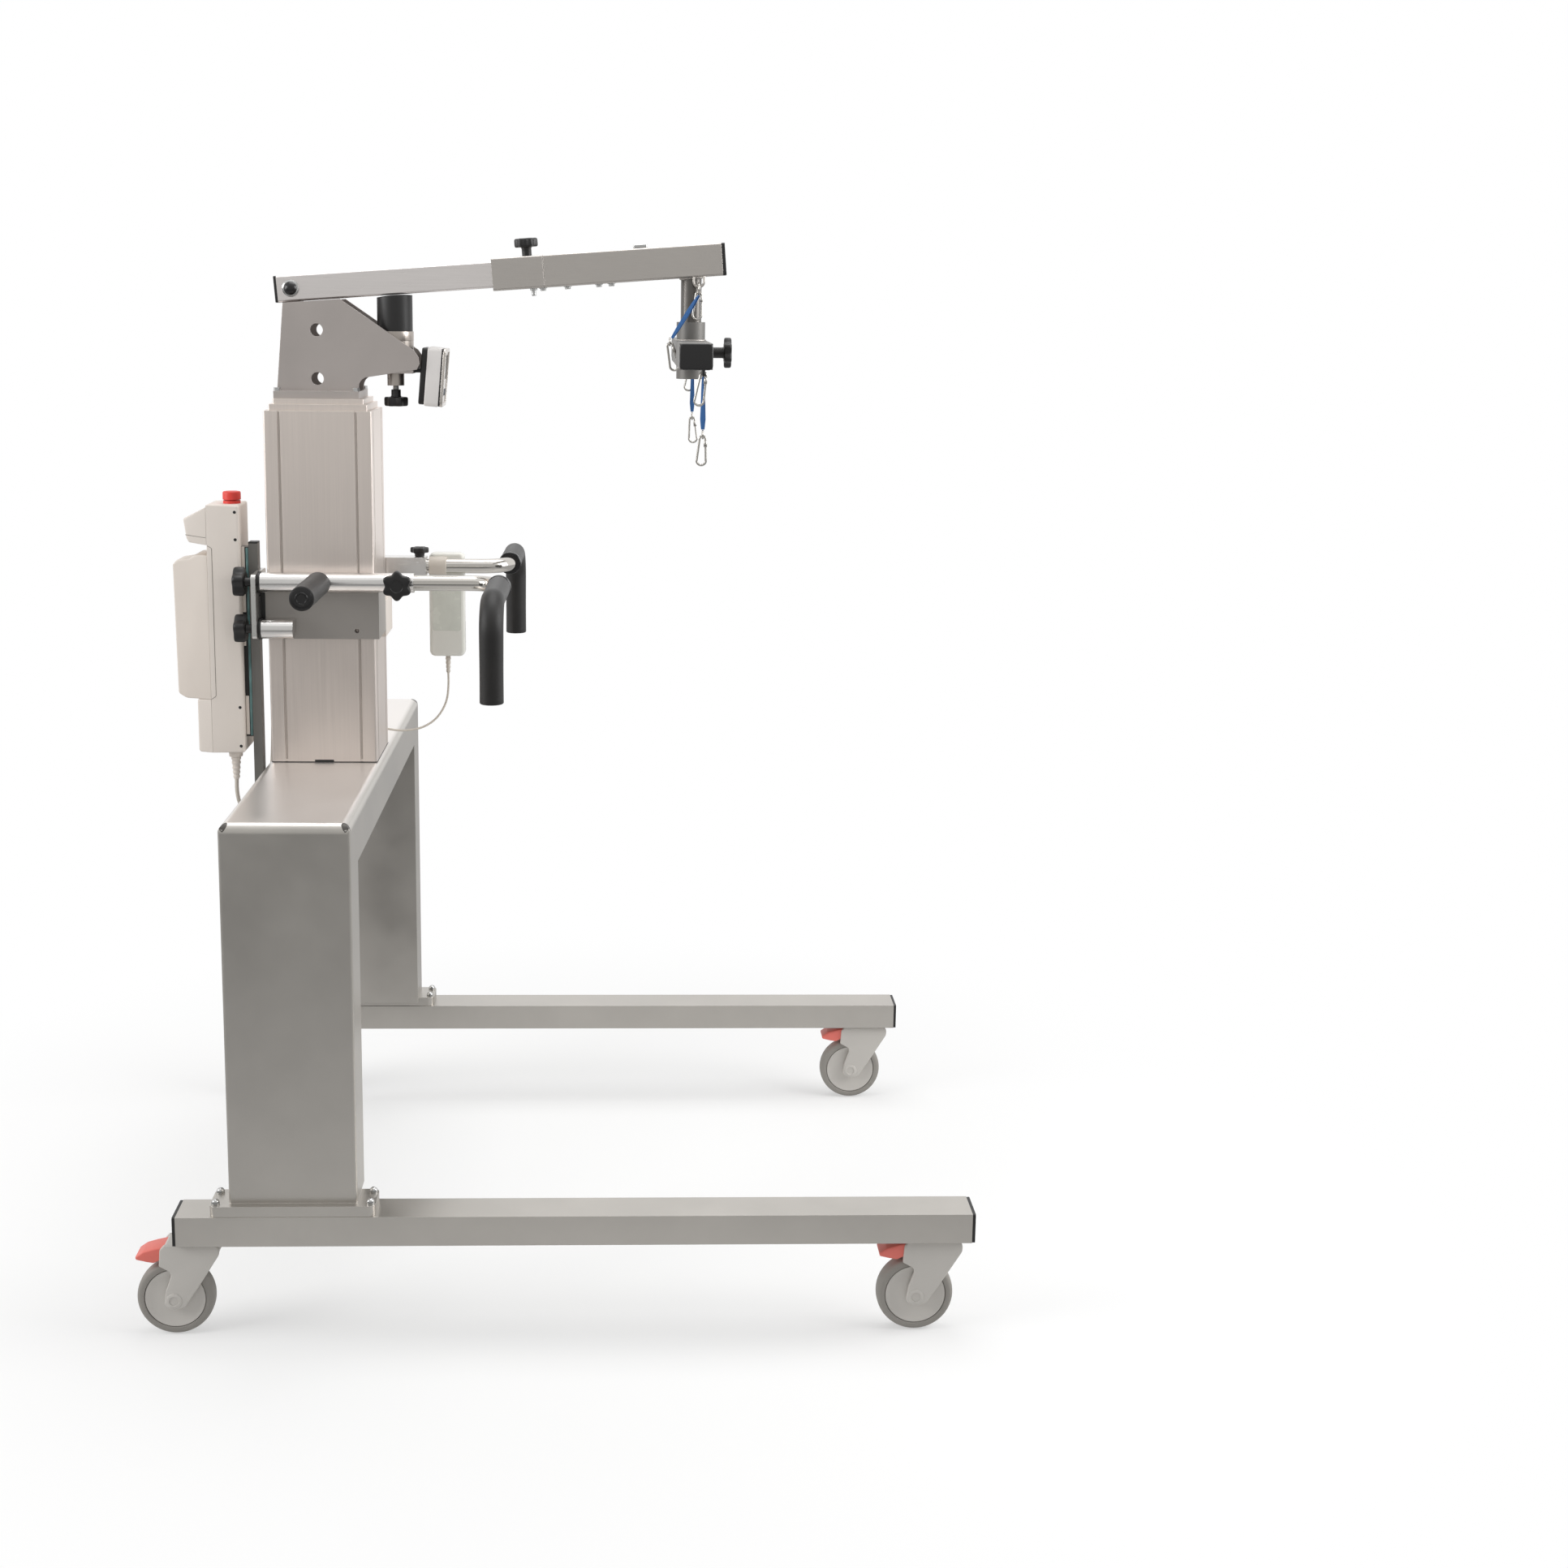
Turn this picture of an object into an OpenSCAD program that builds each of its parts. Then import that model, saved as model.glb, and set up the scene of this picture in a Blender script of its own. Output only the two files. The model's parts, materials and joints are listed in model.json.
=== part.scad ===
// Mobile body weight support frame: rails on casters, portal, lifting column,
// sprung boom with spreader and slings, hand grips, control box and handset.
// Millimetres. X runs forward along the rails, Y across the frame, Z up from the floor.

/* [Rails] */
// Length of each side rail
rail_len = 1296; // [1100:1:1500]
// Width of the rail tube
rail_w = 70; // [60:1:80]
// Height of the rail tube
rail_h = 50; // [45:1:60]
// Wall of the rail tube
rail_wall = 3; // [2:0.5:5]
// Height of the rail's underside above the floor
rail_z = 163; // [158:1:180]
// Distance between the centre lines of the two rails
track = 1010; // [900:1:1100]
// Thickness of a rail end cap outside the tube
cap_t = 5; // [3:0.5:8]

/* [Casters] */
// Diameter of a caster wheel
wheel_d = 127; // [110:1:127]
// Width of a caster wheel
wheel_w = 32; // [28:1:34]
// Distance from the swivel axis back to the wheel's axle
trail = 48; // [40:1:52]
// Distance from the end of the rail to the swivel axis
caster_inset = 40; // [36:1:60]
// Radius of the swivel stem
stem_r = 10; // [8:0.5:12]
// Radius of the wheel's axle
axle_r = 5; // [4:0.5:6]

/* [Portal] */
// Width of the portal along the rails
portal_w = 208; // [200:1:230]
// Outer span of the portal across the frame
portal_span = 1050; // [1000:1:1060]
// Thickness of a portal leg
leg_t = 85; // [70:1:100]
// Height of the portal beam
beam_h = 82; // [70:1:100]
// Height of the portal above its foot plates
portal_h = 633; // [550:1:700]
// Sheet thickness of the portal
portal_wall = 3; // [2:0.5:5]
// Radius of the portal's top edges
portal_r = 16; // [8:1:20]
// Radius of the portal's upright edges
portal_fold = 5; // [4:0.5:12]
// Thickness of a foot plate
foot_t = 18; // [12:1:24]
// Length of a foot plate along the rail
foot_len = 268; // [260:1:300]

/* [Column] */
// Distance from the rear end of the rails to the column's axis
column_setback = 188.75; // [180:0.25:240]
// Width of the column's outer profile along the rails
col_w = 187; // [180:1:196]
// Depth of the column's outer profile across the frame
col_d = 168; // [164:1:180]
// Height of the column's outer profile
col_h = 622; // [600:1:700]
// Wall of the column's outer profile
col_wall = 7.5; // [7:0.5:9]
// Wall of the two moving profiles
stage_wall = 6.5; // [5:0.5:8]
// Gap between one profile and the next
stage_gap = 0.3; // [0.2:0.1:0.5]

/* [Head and boom] */
// Thickness of the head's base plate
head_t = 13; // [10:1:18]
// Distance between the outer faces of the head's side plates
head_w = 78; // [76:1:90]
// Thickness of a side plate
head_plate = 5; // [4:0.5:6]
// Radius of the two spare holes through the side plates
head_hole_r = 11; // [8:0.5:12]
// Height of the boom's pivot above the head's base plate
pivot_rise = 175.6; // [170:0.1:190]
// Upward tilt of the boom
boom_tilt = 4.4; // [3:0.1:5]
// Side of the boom's inner square tube
boom_in = 45; // [42:1:48]
// Side of the boom's outer square tube
boom_out = 56; // [54:1:60]
// Distance from the pivot to the front end of the outer tube
boom_len = 753; // [700:1:900]
// Radius of the pivot pin
pin_r = 8; // [6:0.5:9]
// Radius of the spring plunger
plunger_r = 31; // [26:0.5:32]

/* [Spreader] */
// Length of the spreader bar
spreader_len = 622; // [450:1:700]
// Width of the spreader bar's tube
spreader_w = 54; // [52:1:60]
// Height of the spreader bar's tube
spreader_h = 42; // [36:1:50]
// Radius of the swivel post
post_r = 18.2; // [14:0.1:20]
// Radius of the swivel sleeve
sleeve_r = 25.2; // [22:0.1:25.5]

/* [Handles] */
// Height of the handle bars above the portal
handle_rise = 328; // [300:1:350]
// Distance of a handle bar from the middle plane
handle_y = 118; // [117:0.5:124]
// Radius of a chromed handle bar
bar_r = 13.5; // [11:0.5:14]
// Radius of the socket tubes of the handles
socket_r = 17; // [15.5:0.5:18]
// Distance of a hand grip from the middle plane
grip_y = 370; // [330:1:400]
// Radius of the foam on a hand grip
foam_r = 20; // [17:0.5:22]

/* [Hidden] */
$fn = 48;

// Clearances: a turning fit, a bolt in its hole, and two faces that must not touch
turn_gap = 0.05;
bolt_gap = 0.15;
face_gap = 0.3;

// Places along X, from the middle of the whole length
wheel_r = wheel_d / 2;
back_reach = trail + wheel_r - caster_inset;
rail_x0 = (back_reach - rail_len - cap_t) / 2;
col_x = rail_x0 + column_setback;

// Heights of what stands on what
rail_top = rail_z + rail_h;
leg_z = rail_top + foot_t;
portal_top = leg_z + portal_h;
col_top = portal_top + col_h;
mid_lip = 11;
inner_lip = 9;
inner_top = col_top + mid_lip + inner_lip;
head_z = inner_top + head_t;
pivot_z = head_z + pivot_rise;
handle_z = portal_top + handle_rise;

// Caster details
stem_len = 30;
socket_wall = 4;
fork_plate = 7;
fork_gap = 2;
fork_half = wheel_w / 2 + fork_gap + fork_plate;
fork_top = rail_z - 2.6;
fork_floor = wheel_d + 3;
pedal_x = -59;
pedal_z = fork_top - 12;
pedal_pin_r = 4;
pedal_tip = -110;

// Foot bolts
bolt_r = 5;
bolt_head_r = 6.8;
bolt_dx = foot_len - 18;
bolt_dy = 43;
foot_inset = 1;
foot_corner = 12;
leg_on_foot = 54;
foot_in = min(track / 2 - rail_w / 2 + foot_inset, portal_span / 2 - leg_on_foot);
foot_out = max(track / 2 + rail_w / 2 - foot_inset, portal_span / 2 - leg_t + leg_on_foot);
foot_w = foot_out - foot_in;
foot_y = (foot_in + foot_out) / 2;

// Column profiles as half sizes, each one inside the last
groove_w = 5;
groove_in = 27;
groove_depth = 2.5;
mid_hx = col_w / 2 - col_wall - stage_gap;
mid_hy = col_d / 2 - col_wall - stage_gap;
inner_hx = mid_hx - stage_wall - stage_gap;
inner_hy = mid_hy - stage_wall - stage_gap;
column_floor = 6;
mid_bottom = portal_top + 38;
inner_bottom = portal_top + 76;
nut_t = 15;
spindle_r = 12;
drive_h = 55;
drive_w = 100;
drive_d = 80;
spindle_short = 8;
inner_roof = 10;

// Head and pivot
pivot_x = -50;
head_x0 = -78;
head_x1 = 70;
head_depth = 124;
head_bolt_x = [-72, 64];
head_bolt_y = 54;
head_bolt_r = 4;
head_hole_x = -4.5;
lug_half = 15;
head_back_x = -75;
head_top_x0 = -62;
head_top_x1 = 37;
nose_x = 173.5;
nose_run = 9.5;
nose_top = 71;
nose_low = 38;
lug_r = 16;
display_x = 194.5;
display_y = 6;
display_rise = 25;
display_w = 78;
display_h = 103;
display_t = 43;
boom_wall = 3;
boom_corner = 3.5;
plate_gap = 1.3;
dome_r = 12.3;

// Suspension spring unit under the boom
spring_x = 127.5;
housing_r = plunger_r + 1.2;
neck_r = 15;
seat_z = head_z + 31;
seat_t = 10;
housing_floor = 10;
housing_top = head_z + 97;
plunger_low = housing_top - 26;
crown_r = 200;
preload_r = 5.7;
neck_low = head_z + 9;
knob_low = head_z - 27.3;

// Boom parts along the boom's own axis, from the pivot
boom_rear = -24;
boom_in_end = 610;
collar_start = 351;
collar_end = 441;
collar_line = 0.8;
boom_cap = 6;
lock_at = 413;
slide_gap = 0.3;

// Swivel post and spreader, measured from the column's axis
post_x = 648;
eye_x = 660.5;
eye_y = -25.8;
eye_rod = 2.2;
eye_r = 9;
spreader_drop = 130;
sleeve_up = 53;
sleeve_down = 46;
spreader_wall = 3;
spreader_cap = 6;
knob_screw_r = 4;
ring_groove = 3;
hang_y = spreader_len / 2 - 21;
hang_x = eye_x;
hang_rod = 2.5;
hang_half = 15;
hang_drop = 9;
hook_rod = 2.2;
hook_r = 6.3;
hook_len = 52;
hook_clear = 0.3;
strap_w = 12;
strap_t = 5;
strap_len = 86;
strap_ring_r = 6;
strap_ring_rod = 1.8;

// Height of the underside of a boom tube of the given side, at a place along X
function boom_under(x, side) = pivot_z + (x - pivot_x) * tan(boom_tilt) - side / 2 / cos(boom_tilt);
spreader_z = boom_under(post_x, boom_out) - spreader_drop;
eye_z = boom_under(eye_x, boom_out) - 17;

// Middle sling: its link ring in the boom's eye, its strap and the ring at the strap's end
link_r = 9;
link_rod = 2;
link_y = eye_y - 3.2;
link_z = eye_z - 3.15;
sling_lean = 32;
sling_side = 4;
sling_len = 88;
sling_y = link_y - 4.5;
sling_z = link_z - link_r - link_rod - hook_clear;
sling_tuck = 0.9;
sling_end = sling_len + strap_ring_r + strap_ring_rod + hook_clear - sling_tuck;
sling_ring = [eye_x - sling_end * cos(sling_side) * sin(sling_lean), sling_y - sling_end * sin(sling_side),
    sling_z - sling_end * cos(sling_side) * cos(sling_lean)];

// Handle clamp and handles, measured from the column's axis
clamp_front = 100;
clamp_side = 102.8;
plate_t = 8;
plate_y0 = -146;
plate_y1 = -40;
plate_drop = 97;
plate_rise = 16;
plate_z0 = handle_z - plate_drop;
plate_z1 = handle_z + plate_rise;
socket_x1 = 167;
stub_drop = 82;
stub_x1 = -43;
block_x0 = 60;
block_x1 = 166;
carrier_t = 6;
carrier_x0 = 40;
carrier_x1 = 88;
carrier_drop = 92;
block_h = 35;
bar_x0 = 40;
bar_room = 50;
star_near_x = 141.5;
star_far_x = 153;
bend_x = 267;
bend_r = 50;
grip_x = bend_x + bend_r;
bar_drop = 164;
foam_start = 52;
stub_grip_x = 3.5;
stub_grip_end = -320;
stub_rod_r = 12.5;
stub_foam_r = 21;
accessory_r = 4;
accessory_x = 64;
accessory_drop = 88;
clamp_drop = 102.5;
rear_drop = 114;
rear_h = 65;

// Mast, control box and battery, measured from the column's axis
mast_t = 16;
mast_x1 = -clamp_side - plate_t;
mast_x0 = mast_x1 - mast_t;
mast_y = -60;
mast_half = 12;
strip_half = 10;
strip_rise = 26;
strip_h = 340;
mast_low = portal_top - 44;
mast_top = handle_z + 62;
box_x1 = -139.5;
box_y0 = -88;
box_y1 = 2;
box_rise = 18;
box_h = 440;
battery_rise = 96;
battery_h = 247;
box_low = portal_top + box_rise;
box_top = box_low + box_h;
battery_low = box_low + battery_rise;
battery_top = battery_low + battery_h;
battery_x0 = -260;
battery_x1 = -196;
box_foot_x = -222;
beak_x = -238;
beak_roof_x = -190;
beak_lip_x = -233;
beak_in_x = -229;
throat_x = -198;
throat_h = 15;
beak_low = 27;
beak_sole = 31;
beak_lip = 38;
beak_tip = 72;
box_taper = 0.58;
cell_back_x = -258;
cell_crown_x = -254;
cell_foot_x = -252;
cell_lip_x = -228;
cell_step_x = -219;
cell_rim_x = -202;
cell_chamfer = 8;
cell_rim = 10;
cell_inset = 2;
button_x = -158;
button_r = 16;
button_h = 23;
gland_x = -161;
gland_y = -60;
gland_r = 12;
gland_h = 18;
relief_r = 6;
button_y = -45;

// Handset on the far handle bar, measured from the column's axis
handset_x = 201;
handset_w = 66;
handset_t = 30;
handset_y0 = handle_y + bar_r + 1.5;
handset_drop = 173;
handset_rise = 22;
relief_h = 34;
handset_low = handle_z - handset_drop;
handset_top = handle_z + handset_rise;
hook_x0 = 171;
hook_x1 = 203;
key_w = 26;
key_h = 44;
key_z = handset_top - 60;
key_pocket = 4;
key_proud = 2;

// Cable routes, measured from the column's axis and the portal's top
control_r = 3.5;
control_route = [[-161, -60, -36], [-161, -60, -58], [-158, -54, -82], [-150, -38, -100], [-138, -16, -107],
    [-126, 6, -98], [-118, 22, -72], [-114, 31, -34], [-112, 36, 6], [-111, 39, 44], [-110, 41, 70], [-104,
        42, 86],
    [-col_w / 2, 42, 86]];
handset_r = 2;
handset_route = [[handset_x, 148, handset_low - relief_h - portal_top], [handset_x, 148, 98], [198, 147,
    72], [189, 143, 50],
    [174, 137, 32], [152, 129, 20], [126, 121, 16], [102, 114, 18], [80, 107, 24], [62, 100, 30], [56, 92,
        32],
    [56, col_d / 2, 32]];

module at_column() { translate([col_x, 0, 0]) children(); }

// Rounded rectangle about the origin
module rrect(w, h, r) {
    square([w - 2 * r, h], center = true);
    square([w, h - 2 * r], center = true);
    for (sx = [-1, 1], sy = [-1, 1])
        translate([sx * (w / 2 - r), sy * (h / 2 - r)]) circle(r = r);
}

// A flat outline in X and Z, thickened along Y about the middle plane
module plate_xz(t) { rotate([90, 0, 0]) linear_extrude(t, center = true) children(); }

// A round bar from one place along X, Y or Z
module bar_along_x(r, l) { rotate([0, 90, 0]) cylinder(r = r, h = l); }
module bar_along_y(r, l) { rotate([-90, 0, 0]) cylinder(r = r, h = l); }

// Hand knob: its seat is at zero, the screw goes down and the lobed head is up
module hand_knob(r, lobes, head_h, stem_r, stem_h, screw_r, screw_h) {
    lobe_r = 0.3 * r;
    translate([0, 0, -screw_h]) cylinder(r = screw_r, h = screw_h + stem_h);
    cylinder(r = stem_r, h = stem_h + head_h / 2);
    translate([0, 0, stem_h]) {
        cylinder(r = 0.8 * r, h = head_h);
        for (k = [0 : lobes - 1])
            rotate(k * 360 / lobes) translate([r - lobe_r, 0, 0]) cylinder(r = lobe_r, h = head_h);
    }
}

// Smooth curve through a list of points, with n steps between neighbours
function blend4(a, b, c, d, t) =
    0.5 * (2 * b + (c - a) * t + (2 * a - 5 * b + 4 * c - d) * t * t + (3 * b - a - 3 * c + d) * t * t * t);
function smooth(p, n) = concat(
    [for (i = [0 : len(p) - 2], j = [0 : n - 1])
        blend4(p[max(i - 1, 0)], p[i], p[i + 1], p[min(i + 2, len(p) - 1)], j / n)],
    [p[len(p) - 1]]);
function unit(v) = v / norm(v);

// Round cord swept along a list of points; side_ref is a direction that the cord never takes
module cord(p, r, sides, side_ref) {
    n = len(p);
    dir = [for (i = [0 : n - 1]) unit(p[min(i + 1, n - 1)] - p[max(i - 1, 0)])];
    rings = [for (i = [0 : n - 1])
        let (u = unit(cross(dir[i], side_ref)), v = cross(dir[i], u))
        for (k = [0 : sides - 1]) p[i] + r * (cos(k * 360 / sides) * u + sin(k * 360 / sides) * v)];
    walls = [for (i = [0 : n - 2], k = [0 : sides - 1])
        let (a = i * sides + k, b = i * sides + (k + 1) % sides)
        each [[a, b, b + sides], [a, b + sides, a + sides]]];
    first = [for (k = [1 : sides - 2]) [0, k + 1, k]];
    last = [for (k = [1 : sides - 2]) (n - 1) * sides * [1, 1, 1] + [0, k, k + 1]];
    polyhedron(points = rings, faces = concat(walls, first, last), convexity = 6);
}

// Side rails with caster sockets and holes for the foot bolts
module rails() {
    color("#a5a19b") for (s = [-1, 1]) translate([rail_x0, s * track / 2, rail_z]) difference() {
        union() {
            difference() {
                translate([0, -rail_w / 2, 0]) cube([rail_len, rail_w, rail_h]);
                translate([-1, -rail_w / 2 + rail_wall, rail_wall])
                    cube([rail_len + 2, rail_w - 2 * rail_wall, rail_h - 2 * rail_wall]);
            }
            for (x = [caster_inset, rail_len - caster_inset])
                translate([x, 0, rail_wall / 2]) cylinder(r = stem_r + socket_wall, h = rail_h - rail_wall);
        }
        for (x = [caster_inset, rail_len - caster_inset])
            translate([x, 0, -1]) cylinder(r = stem_r + turn_gap, h = stem_len + 2);
        for (sx = [-1, 1], sy = [-1, 1])
            translate([column_setback + sx * bolt_dx / 2, sy * bolt_dy / 2, rail_h - 2 * rail_wall])
                cylinder(r = bolt_r + bolt_gap, h = 3 * rail_wall);
    }
}

// Plastic caps that plug the four rail ends
module rail_end_caps() {
    plug = 14;
    color("#2b2b2a") for (s = [-1, 1], e = [0, 1])
        translate([rail_x0 + e * rail_len, s * track / 2, rail_z + rail_h / 2]) mirror([1 - e, 0, 0]) {
            rotate([90, 0, 90]) linear_extrude(cap_t) rrect(rail_w, rail_h, 3);
            translate([-plug, 0, 0]) rotate([90, 0, 90]) linear_extrude(plug)
                rrect(rail_w - 2 * rail_wall - 2 * face_gap, rail_h - 2 * rail_wall - 2 * face_gap, 2);
        }
}

// Portal block with rounded edges, open below between its legs
module portal_block(w, span, leg, beam, low, top, r, fold) {
    difference() {
        intersection() {
            translate([0, 0, low]) linear_extrude(top - low) rrect(w, span, fold);
            rotate([90, 0, 90]) linear_extrude(w, center = true)
                translate([0, low + (top - low) / 2 - r]) rrect(span, top - low + 2 * r, r);
            plate_xz(span) translate([0, low + (top - low) / 2 - r]) rrect(w, top - low + 2 * r, r);
        }
        translate([-w, -span / 2 + leg, low - 1]) cube([2 * w, span - 2 * leg, top - low - beam + 1]);
    }
}

// Sheet metal portal, with a foot plate welded under each leg
module portal() {
    color("#a5a19b") at_column() {
        difference() {
            portal_block(portal_w, portal_span, leg_t, beam_h, leg_z, portal_top, portal_r, portal_fold);
            portal_block(portal_w - 2 * portal_wall, portal_span - 2 * portal_wall, leg_t - 2 * portal_wall,
                beam_h - 2 * portal_wall, leg_z - 1, portal_top - portal_wall, portal_r - portal_wall,
                max(portal_fold - portal_wall, 1));
        }
        for (s = [-1, 1]) translate([0, 0, rail_top]) difference() {
            translate([0, s * foot_y, 0]) linear_extrude(foot_t) rrect(foot_len, foot_w, foot_corner);
            for (sx = [-1, 1], sy = [-1, 1])
                translate([sx * bolt_dx / 2, s * track / 2 + sy * bolt_dy / 2, -1])
                    cylinder(r = bolt_r + bolt_gap, h = foot_t + 2);
        }
    }
}

// Dome headed bolts that hold the feet on the rails
module foot_bolts() {
    shank = foot_t + rail_wall + 6;
    color("#d8d8d6") at_column() for (s = [-1, 1], sx = [-1, 1], sy = [-1, 1])
        translate([sx * bolt_dx / 2, s * track / 2 + sy * bolt_dy / 2, leg_z]) {
            translate([0, 0, -shank]) cylinder(r = bolt_r, h = shank);
            cylinder(r = bolt_head_r, h = 2);
            translate([0, 0, 2]) intersection() {
                sphere(r = bolt_head_r);
                cylinder(r = bolt_head_r, h = bolt_head_r);
            }
        }
}

// Place of a caster's swivel axis: e is 0 at the rear and 1 at the front, s is the side
module at_caster(e, s) {
    translate([rail_x0 + caster_inset + e * (rail_len - 2 * caster_inset), s * track / 2, 0]) children();
}

// Outline of a fork side, from the swivel head down to the axle
module fork_side() {
    polygon([[27, fork_top], [27, fork_top - 16], [-13, wheel_r + 18], [-trail + 12, wheel_r - 12],
        [-trail - 16, wheel_r + 4],
        [-52, fork_top - 48], [-67, fork_top - 32], [-67, fork_top - 4], [-63, fork_top]]);
    translate([-trail, wheel_r]) circle(r = 17);
}

// Swivel fork with its stem, the fixed axle and the pedal's pin
module fork(e, s) {
    color("#aaa69f") at_caster(e, s) {
        for (sy = [-1, 1]) translate([0, sy * (fork_half - fork_plate / 2), 0]) plate_xz(fork_plate)
            fork_side();
        translate([-50, -fork_half, fork_floor]) cube([77, 2 * fork_half, fork_top - fork_floor]);
        translate([0, 0, fork_top - 1]) cylinder(r = 24, h = rail_z - face_gap - fork_top + 1);
        translate([0, 0, fork_top]) cylinder(r = stem_r, h = rail_z - fork_top + stem_len);
        translate([-trail, -fork_half, wheel_r]) bar_along_y(axle_r, 2 * fork_half);
        translate([pedal_x, -fork_half, pedal_z]) bar_along_y(pedal_pin_r, 2 * fork_half);
    }
}

// Wheel with rounded tread and a groove between tyre and disc, turning on the axle
module wheel(e, s) {
    tread = 7;
    disc_r = wheel_r - 12;
    color("#8f8d89") at_caster(e, s) translate([-trail, 0, wheel_r]) rotate([90, 0, 0]) rotate_extrude()
        difference() {
        union() {
            translate([axle_r + turn_gap, -wheel_w / 2]) square([wheel_r - tread - axle_r - turn_gap,
                wheel_w]);
            translate([wheel_r - tread - 1, -wheel_w / 2 + tread]) square([tread + 1, wheel_w - 2 * tread]);
            for (t = [-1, 1]) translate([wheel_r - tread, t * (wheel_w / 2 - tread)]) circle(r = tread);
        }
        for (t = [-1, 1]) translate([disc_r + 1, t * wheel_w / 2]) square([2, 4], center = true);
    }
}

// Brake pedal between the fork's sides, turning on the fork's pin
module pedal(e, s) {
    arm_half = fork_half - fork_plate - face_gap;
    color("#d2483c") at_caster(e, s) difference() {
        union() {
            plate_xz(2 * arm_half) translate([pedal_x, pedal_z]) circle(r = 8);
            plate_xz(2 * arm_half) polygon([[pedal_x, pedal_z + 7], [pedal_x, pedal_z - 5],
                [-76, pedal_z - 10], [-76, pedal_z + 6]]);
            plate_xz(42) polygon([[-70, pedal_z + 7], [-70, pedal_z - 6], [-78, pedal_z - 15], [-84,
                pedal_z - 19],
                [pedal_tip, pedal_z - 13], [pedal_tip, pedal_z - 8], [-97, pedal_z + 1]]);
        }
        translate([pedal_x, -50, pedal_z]) bar_along_y(pedal_pin_r + turn_gap, 100);
    }
}

// Outer column profile with two grooves down each face
module column_outer() {
    color("#b9b0a6") at_column() translate([0, 0, portal_top]) {
        linear_extrude(col_h) difference() {
            rrect(col_w, col_d, 4);
            square([2 * (mid_hx + stage_gap), 2 * (mid_hy + stage_gap)], center = true);
            for (sx = [-1, 1], sy = [-1, 1]) {
                translate([sx * (col_w / 2 - groove_in), sy * col_d / 2]) square([groove_w,
                    2 * groove_depth], center = true);
                translate([sx * col_w / 2, sy * (col_d / 2 - groove_in)]) square([2 * groove_depth,
                    groove_w], center = true);
            }
        }
        linear_extrude(column_floor) square([col_w - 2, col_d - 2], center = true);
    }
}

// Motor, gear case and screw inside the column
module lift_drive() {
    color("#55575a") at_column() translate([0, 0, portal_top + column_floor]) {
        translate([-drive_w / 2, -drive_d / 2, 0]) cube([drive_w, drive_d, drive_h]);
        cylinder(r = spindle_r, h = col_h - column_floor - spindle_short);
    }
}

// Middle column profile
module column_mid() {
    color("#cfc8be") at_column() translate([0, 0, mid_bottom])
        linear_extrude(col_top + mid_lip - mid_bottom) difference() {
        rrect(2 * mid_hx, 2 * mid_hy, 3);
        square([2 * (inner_hx + stage_gap), 2 * (inner_hy + stage_gap)], center = true);
    }
}

// Inner column profile, closed above, with the screw's nut in its foot
module column_inner() {
    wall = stage_wall;
    color("#d6cfc5") at_column() difference() {
        translate([0, 0, inner_bottom]) linear_extrude(inner_top - inner_bottom) rrect(2 * inner_hx,
            2 * inner_hy, 3);
        translate([-inner_hx + wall, -inner_hy + wall, inner_bottom + nut_t])
            cube([2 * (inner_hx - wall), 2 * (inner_hy - wall),
                inner_top - inner_roof - inner_bottom - nut_t]);
        translate([0, 0, inner_bottom - 1]) cylinder(r = spindle_r + turn_gap, h = nut_t + 2);
        for (x = head_bolt_x, s = [-1, 1])
            translate([x, s * head_bolt_y, inner_top - inner_roof - 1])
                cylinder(r = head_bolt_r + bolt_gap, h = inner_roof + 2);
    }
}

// Outline of a head side plate
module head_outline() {
    notch = 18;
    polygon(concat(
        [[head_back_x, head_z - 1], [head_top_x0, boom_under(head_top_x0, boom_in) - plate_gap],
         [head_top_x1, boom_under(head_top_x1, boom_in) - plate_gap], [nose_x - nose_run, head_z + nose_top],
         [nose_x - 2, head_z + nose_top - 11], [nose_x, head_z + nose_low + 10],
         [nose_x - 5, head_z + nose_low]],
        [for (a = [90 : 15 : 180]) [head_x1 - 3.5 + notch + notch * cos(a), head_z + 6.5 + notch * sin(a)]],
        [[head_x1 - 3.5, head_z - 1]]));
}

// Head bracket: base plate, two side plates, the spring's seat and the pivot lug
module head_bracket() {
    color("#a7a19b") at_column() difference() {
        union() {
            translate([head_x0, -head_depth / 2, inner_top]) cube([head_x1 - head_x0, head_depth, head_t]);
            for (s = [-1, 1]) translate([0, s * (head_w - head_plate) / 2, 0]) plate_xz(head_plate)
                head_outline();
            translate([spring_x - 34, -head_w / 2 + 1, seat_z]) cube([68, head_w - 2, seat_t]);
            plate_xz(2 * lug_half) {
                translate([pivot_x, pivot_z]) circle(r = lug_r);
                translate([pivot_x - lug_r, head_z - 1]) square([2 * lug_r, pivot_rise + 1]);
            }
        }
        for (z = [head_z + 21, head_z + 105])
            translate([head_hole_x, -head_w, z]) bar_along_y(head_hole_r, 2 * head_w);
        translate([pivot_x, -head_w, pivot_z]) bar_along_y(pin_r + turn_gap, 2 * head_w);
        translate([spring_x, 0, seat_z - 1]) cylinder(r = neck_r + bolt_gap, h = seat_t + 2);
        for (x = head_bolt_x, s = [-1, 1])
            translate([x, s * head_bolt_y, inner_top - 1]) cylinder(r = head_bolt_r + bolt_gap,
                h = head_t + 2);
    }
}

// Hexagon bolts that hold the head on the column
module head_bolts() {
    color("#c9c9c7") at_column() for (x = head_bolt_x, s = [-1, 1]) translate([x, s * head_bolt_y, head_z]) {
        translate([0, 0, -head_t - inner_roof + 2]) cylinder(r = head_bolt_r, h = head_t + inner_roof);
        cylinder(r = 6.5, h = 6, $fn = 6);
    }
}

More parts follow.
